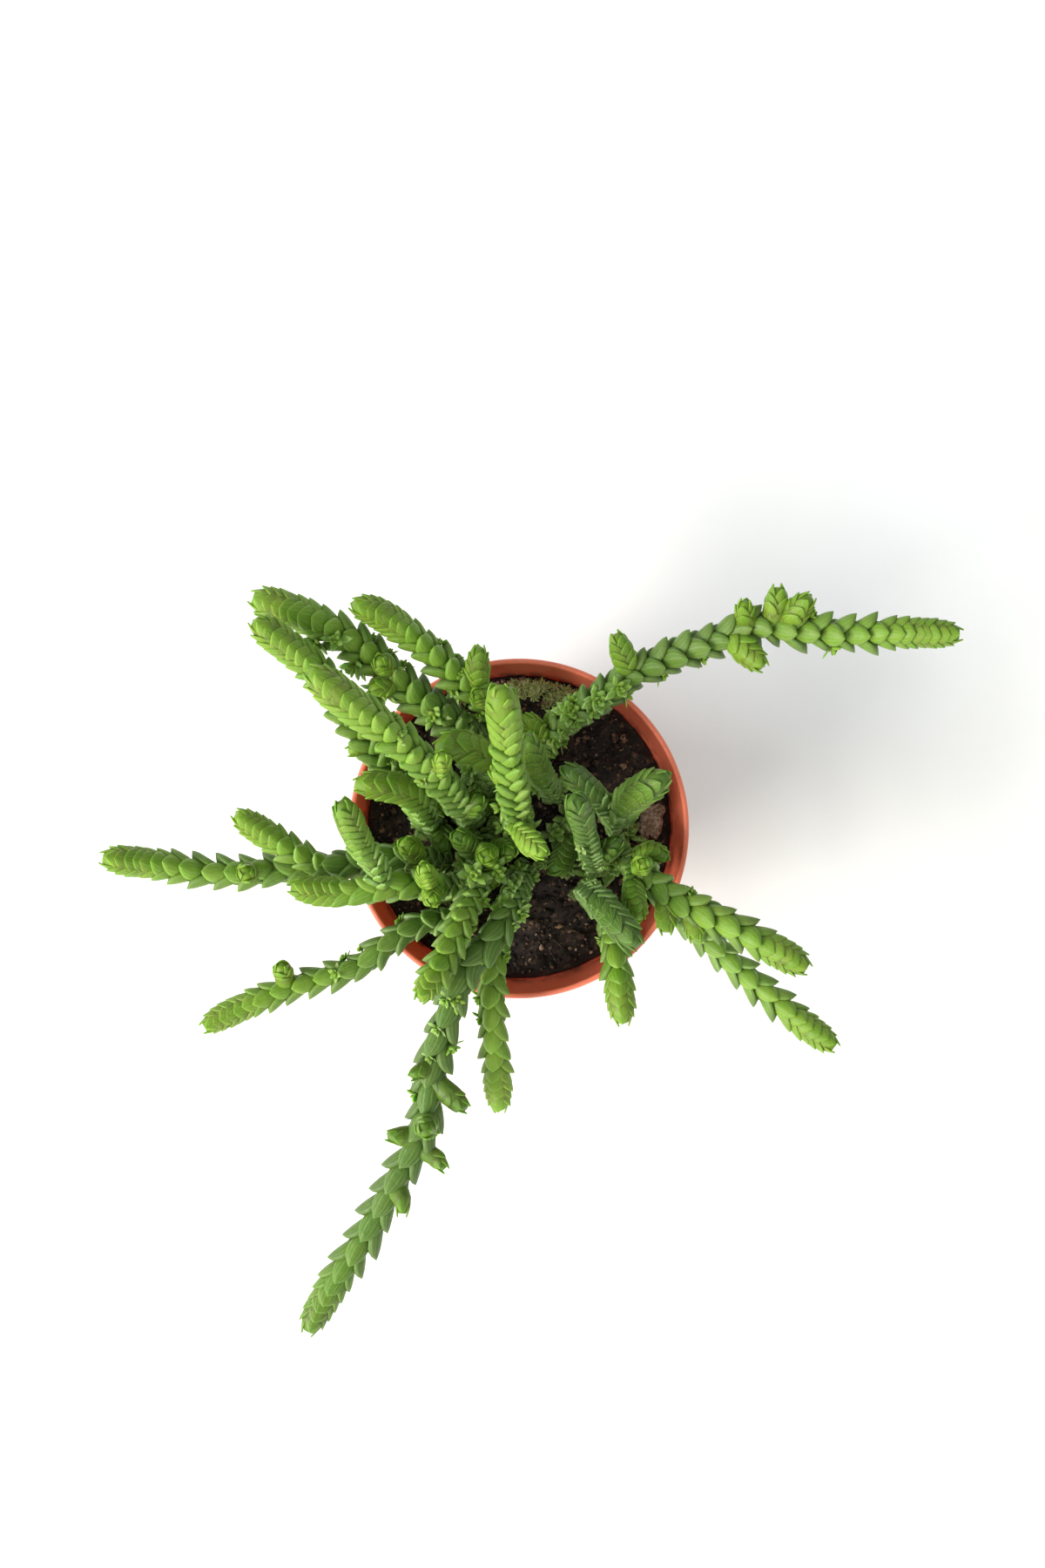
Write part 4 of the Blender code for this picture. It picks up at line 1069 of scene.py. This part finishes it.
def add_crumbs(shell, draw):
    """Loose crumbs of soil, most of them dark, some tan, and a little pale grit by the back wall."""
    small = ball(split=False)
    large = ball(split=True)
    for _ in range(CRUMBS):
        reach = (SOIL_RADIUS - 0.9 * MM) * math.sqrt(draw.uniform())
        turn = draw.uniform(0, math.tau)
        x, y = reach * math.cos(turn), reach * math.sin(turn)
        size = draw.uniform(0.16, 0.42) * MM
        tone = draw.uniform(0.0, 0.6)
        form = small
        if draw.uniform() < LARGE_CRUMBS:
            size *= draw.uniform(1.4, 2.3)
            form = large
        if draw.uniform() < TAN_CRUMBS:
            tone = draw.uniform(0.62, 0.90)
        add_crumb(shell, draw, form, x, y, size, tone)
    for _ in range(GRIT):
        x, y = draw.normal(-3.2, 1.3) * MM, draw.normal(24.0, 0.5) * MM
        if math.hypot(x, y) < SOIL_RADIUS - 0.4 * MM:
            add_crumb(shell, draw, small, x, y, draw.uniform(0.2, 0.5) * MM, draw.uniform(0.85, 1))


def add_crumb(shell, draw, form, x, y, size, tone):
    """One rough, flattened ball, turned at random and half sunk in the soil."""
    shape, sides = form
    turns = np.linalg.qr(draw.normal(size=(3, 3)))[0]
    if np.linalg.det(turns) < 0:
        turns = -turns
    stretch = np.array([1.0, draw.uniform(0.6, 1.0), draw.uniform(0.5, 0.9)])
    rough = 1 + 0.24 * draw.normal(size=(len(shape), 1))
    points = (shape * rough * stretch * size) @ turns.T
    shell.add(points + on_soil(x, y, 0.35 * size), [], sides, tone=tone)


def add_strand(shell, points, radii, sides=5, **values):
    """A thin closed thread through points, with a radius at each."""
    points = np.asarray(points)
    along = unit(np.gradient(points, axis=0))
    side = unit(np.cross(along, (0.1, 0.2, 1.0)))
    up = np.cross(side, along)
    turns = (np.arange(sides) * math.tau / sides)[None, :, None]
    around = side[:, None] * np.cos(turns) + up[:, None] * np.sin(turns)
    rings = points[:, None] + np.asarray(radii)[:, None, None] * around
    quads = tube_faces(len(points), sides)[..., ::-1]
    caps = end_fans(len(points), sides)[:, ::-1]
    shell.add(np.vstack([rings.reshape(-1, 3), points[:1], points[-1:]]), quads, caps, **values)


def add_fibres(shell, draw):
    """Bits of root and coir that lie about on the soil."""
    for _ in range(FIBRES):
        reach = (SOIL_RADIUS - 2.5 * MM) * math.sqrt(draw.uniform())
        turn = draw.uniform(0, math.tau)
        heading = draw.uniform(0, math.tau)
        place = np.array([reach * math.cos(turn), reach * math.sin(turn)])
        bend = draw.normal(0, 0.25)
        girth = draw.uniform(0.05, 0.11) * MM
        points = []
        for rise in np.linspace(0, math.pi, len(FIBRE_TAPER)):
            lift = (0.12 + 0.35 * math.sin(rise) * draw.uniform(0.3, 1)) * MM
            points.append(on_soil(*place, lift))
            heading += bend
            place = place + FIBRE_STEP * np.array([math.cos(heading), math.sin(heading)])
            place *= min(1, (SOIL_RADIUS - 0.8 * MM) / np.linalg.norm(place))
        add_strand(shell, points, girth * FIBRE_TAPER, tone=draw.uniform(0.35, 0.68))


def add_bark(shell, draw):
    """One flat chip of fibrous bark, tilted against the wall on the right."""
    across, along = 15, 19
    s = np.linspace(-1, 1, across)[:, None]
    t = np.linspace(-1, 1, along)[None, :]
    ragged = 1 + 0.10 * lumps(t * 4 * MM + 0 * s, s * 0.3 * MM, 1.6 * MM, 21)
    x = BARK_HALF_WIDTH * s * ragged * np.sqrt(1 - 0.35 * t ** 2)
    y = BARK_HALF_LENGTH * t * (1 + 0.08 * lumps(s * 4 * MM + 0 * t, t * 0.5 * MM, 1.1 * MM, 22))
    rim = np.minimum(1, 3.2 * (1 - np.maximum(np.abs(s), np.abs(t))))
    ribs = 0.16 * MM * lumps(x, y * 0.25, 0.7 * MM, 23) + 0.08 * MM * lumps(x, y, 0.4 * MM, 24)
    top = np.stack([x, y, 0.55 * MM * rim + ribs], -1)
    low = np.stack([x, y, -0.5 * MM * rim - 0.02 * MM + ribs], -1)
    turn = np.array(Matrix.Rotation(BARK_TURN, 3, "Z") @ Matrix.Rotation(BARK_TILT, 3, "Y"))
    count = across * along
    grid = np.arange(count).reshape(across, along)
    faces = np.stack([grid[:-1, :-1], grid[1:, :-1], grid[1:, 1:], grid[:-1, 1:]], -1).reshape(-1, 4)
    edge = np.concatenate([grid[:, 0], grid[-1, 1:], grid[-2::-1, -1], grid[0, -2:0:-1]])
    after = np.roll(edge, -1)
    walls = np.stack([edge, edge + count, after + count, after], -1)
    points = np.concatenate([top, low]).reshape(-1, 3) @ turn.T + BARK_PLACE
    tone = 0.86 + 0.07 * draw.normal(size=2 * count)
    shell.add(points, np.concatenate([faces, faces[:, ::-1] + count, walls]), [], tone=tone)


def make_moss():
    """Low tufts of moss by the back wall, each a mound of small pointed leaves."""
    draw = np.random.default_rng(MOSS_SEED)
    shell = Shell()
    shape, sides = ball(split=True)
    for x, y, size in MOSS:
        middle = on_soil(x * MM, y * MM)
        stretch = np.array([1, 0.75, 0.7]) * size * MM
        rough = 1 + 0.08 * draw.normal(size=(len(shape), 1))
        shell.add(shape * rough * stretch * 0.8 + middle, [], sides, tone=-0.8)
        for _ in range(int(MOSS_LEAVES * size)):
            out = unit(draw.normal(size=3) + (0, 0, 0.9))
            out[2] = abs(out[2])
            root = middle + out * stretch * 0.72
            lean = unit(out + 0.45 * draw.normal(size=3))
            tip = root + lean * draw.uniform(0.35, 0.75) * MM * (0.6 + 0.4 * size)
            bend = (root + tip) / 2 + 0.06 * MM * draw.normal(size=3)
            add_strand(shell, [root, bend, tip], np.array([0.09, 0.10, 0.02]) * MM, 4,
                       tone=draw.uniform(-1, 1))
    moss = shell.build("moss", moss_material())
    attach(moss, BODY)


def make_stems(material):
    """The stems, each with its side shoots and open buds in the same piece."""
    for k, (name, thickness, points, shoots) in enumerate(STEMS):
        draw = np.random.default_rng(STEM_SEED + k)
        habit = {**USUAL, **HABITS.get(name, {})}
        roll = math.radians(habit.get("roll", draw.uniform(-12, 12)))
        shell = Shell()
        route = Route(points)
        start = route.distance_to_height(SOIL_LEVEL - 0.5 * MM)
        tips = add_shoot(shell, draw, route, thickness, start, roll, habit)
        add_axil_buds(shell, draw, route, tips, roll, habit)
        for j, (girth, shoot_points) in enumerate(shoots):
            young = {**habit, "lax": 0.0, "fresh": habit["fresh"] + 0.04, "club": SIDE_CLUB,
                     **habit["shoots"].get(j, {})}
            add_shoot(shell, draw, Route(shoot_points), girth, 1.0 * MM, draw.uniform(-0.5, 0.5), young)
        for place, out, size, pairs, bright in ROSETTES.get(name, ()):
            add_rosette(shell, draw, np.array(place) * MM, unit(np.array(out)), size * MM, pairs, bright)
        stem = shell.build("leafy_" + name, material)
        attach(stem, BODY)
        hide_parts(name)


# How far the floor reaches each way, in metres.
FLOOR_REACH = 3.0


def make_stage():
    """The floor that the pot stands on."""
    mesh = bpy.data.meshes.new("floor")
    corners = [(x * FLOOR_REACH, y * FLOOR_REACH, 0) for x, y in ((-1, -1), (1, -1), (1, 1), (-1, 1))]
    mesh.from_pydata(corners, [], [(0, 1, 2, 3)])
    mesh.materials.append(floor_material())
    floor = bpy.data.objects.new("floor", mesh)
    bpy.context.scene.collection.objects.link(floor)


# Soft light from a window on the left. Each lamp's place and size are in metres, and its level is how
# bright it makes a white card that stands at the pot and faces it.
SKY_COLOUR = (0.91, 0.97, 0.97, 1)
SKY_LEVEL = 0.64
LAMPS = (
    ("sun", (-0.68, -0.42, 0.62), 0.4, 0.95, (1.0, 0.94, 0.84)),
    ("window", (-0.80, -0.05, 0.60), 0.6, 0.70, (0.90, 0.96, 1.0)),
    ("front", (0.15, -0.85, 0.50), 0.9, 0.34, (1.0, 0.97, 0.93)),
)
LAMP_TARGET = (0, 0, 0.04)


def turned_towards(place, target):
    """The turn that makes a lamp at a place shine on a target."""
    back = unit(np.array(place) - np.array(target))
    side = unit(np.cross((0, 1, 0), back))
    return Matrix(np.stack([side, np.cross(back, side), back], 1).tolist()).to_euler()


def make_light():
    """The sky, the lamps and a plain colour response."""
    scene = bpy.context.scene
    world = bpy.data.worlds.new("studio")
    world.use_nodes = True
    back = world.node_tree.nodes["Background"]
    back.inputs["Color"].default_value = SKY_COLOUR
    back.inputs["Strength"].default_value = SKY_LEVEL
    scene.world = world
    for name, place, size, level, colour in LAMPS:
        lamp = bpy.data.lights.new(name, "AREA")
        lamp.shape = "SQUARE"
        lamp.size = size
        lamp.energy = level * math.pi ** 2 * float(np.linalg.norm(place)) ** 2
        lamp.color = colour
        light = bpy.data.objects.new(name, lamp)
        light.location = place
        light.rotation_euler = turned_towards(place, LAMP_TARGET)
        scene.collection.objects.link(light)
    scene.view_settings.view_transform = "Standard"
    scene.view_settings.look = "None"


def make_camera():
    """The camera of the photograph, straight above the pot."""
    data = bpy.data.cameras.new("camera")
    data.sensor_fit = "VERTICAL"
    data.sensor_height = 36
    data.lens = data.sensor_height * FOCAL_PIXELS / IMAGE_SIZE[1]
    data.clip_start = 10 * MM
    camera = bpy.data.objects.new("camera", data)
    camera.location = CAMERA_PLACE
    bpy.context.scene.collection.objects.link(camera)
    bpy.context.scene.camera = camera


make_camera()
make_light()
make_stage()
make_pot()
make_soil(soil_material())
make_moss()
make_stems(leaf_material())
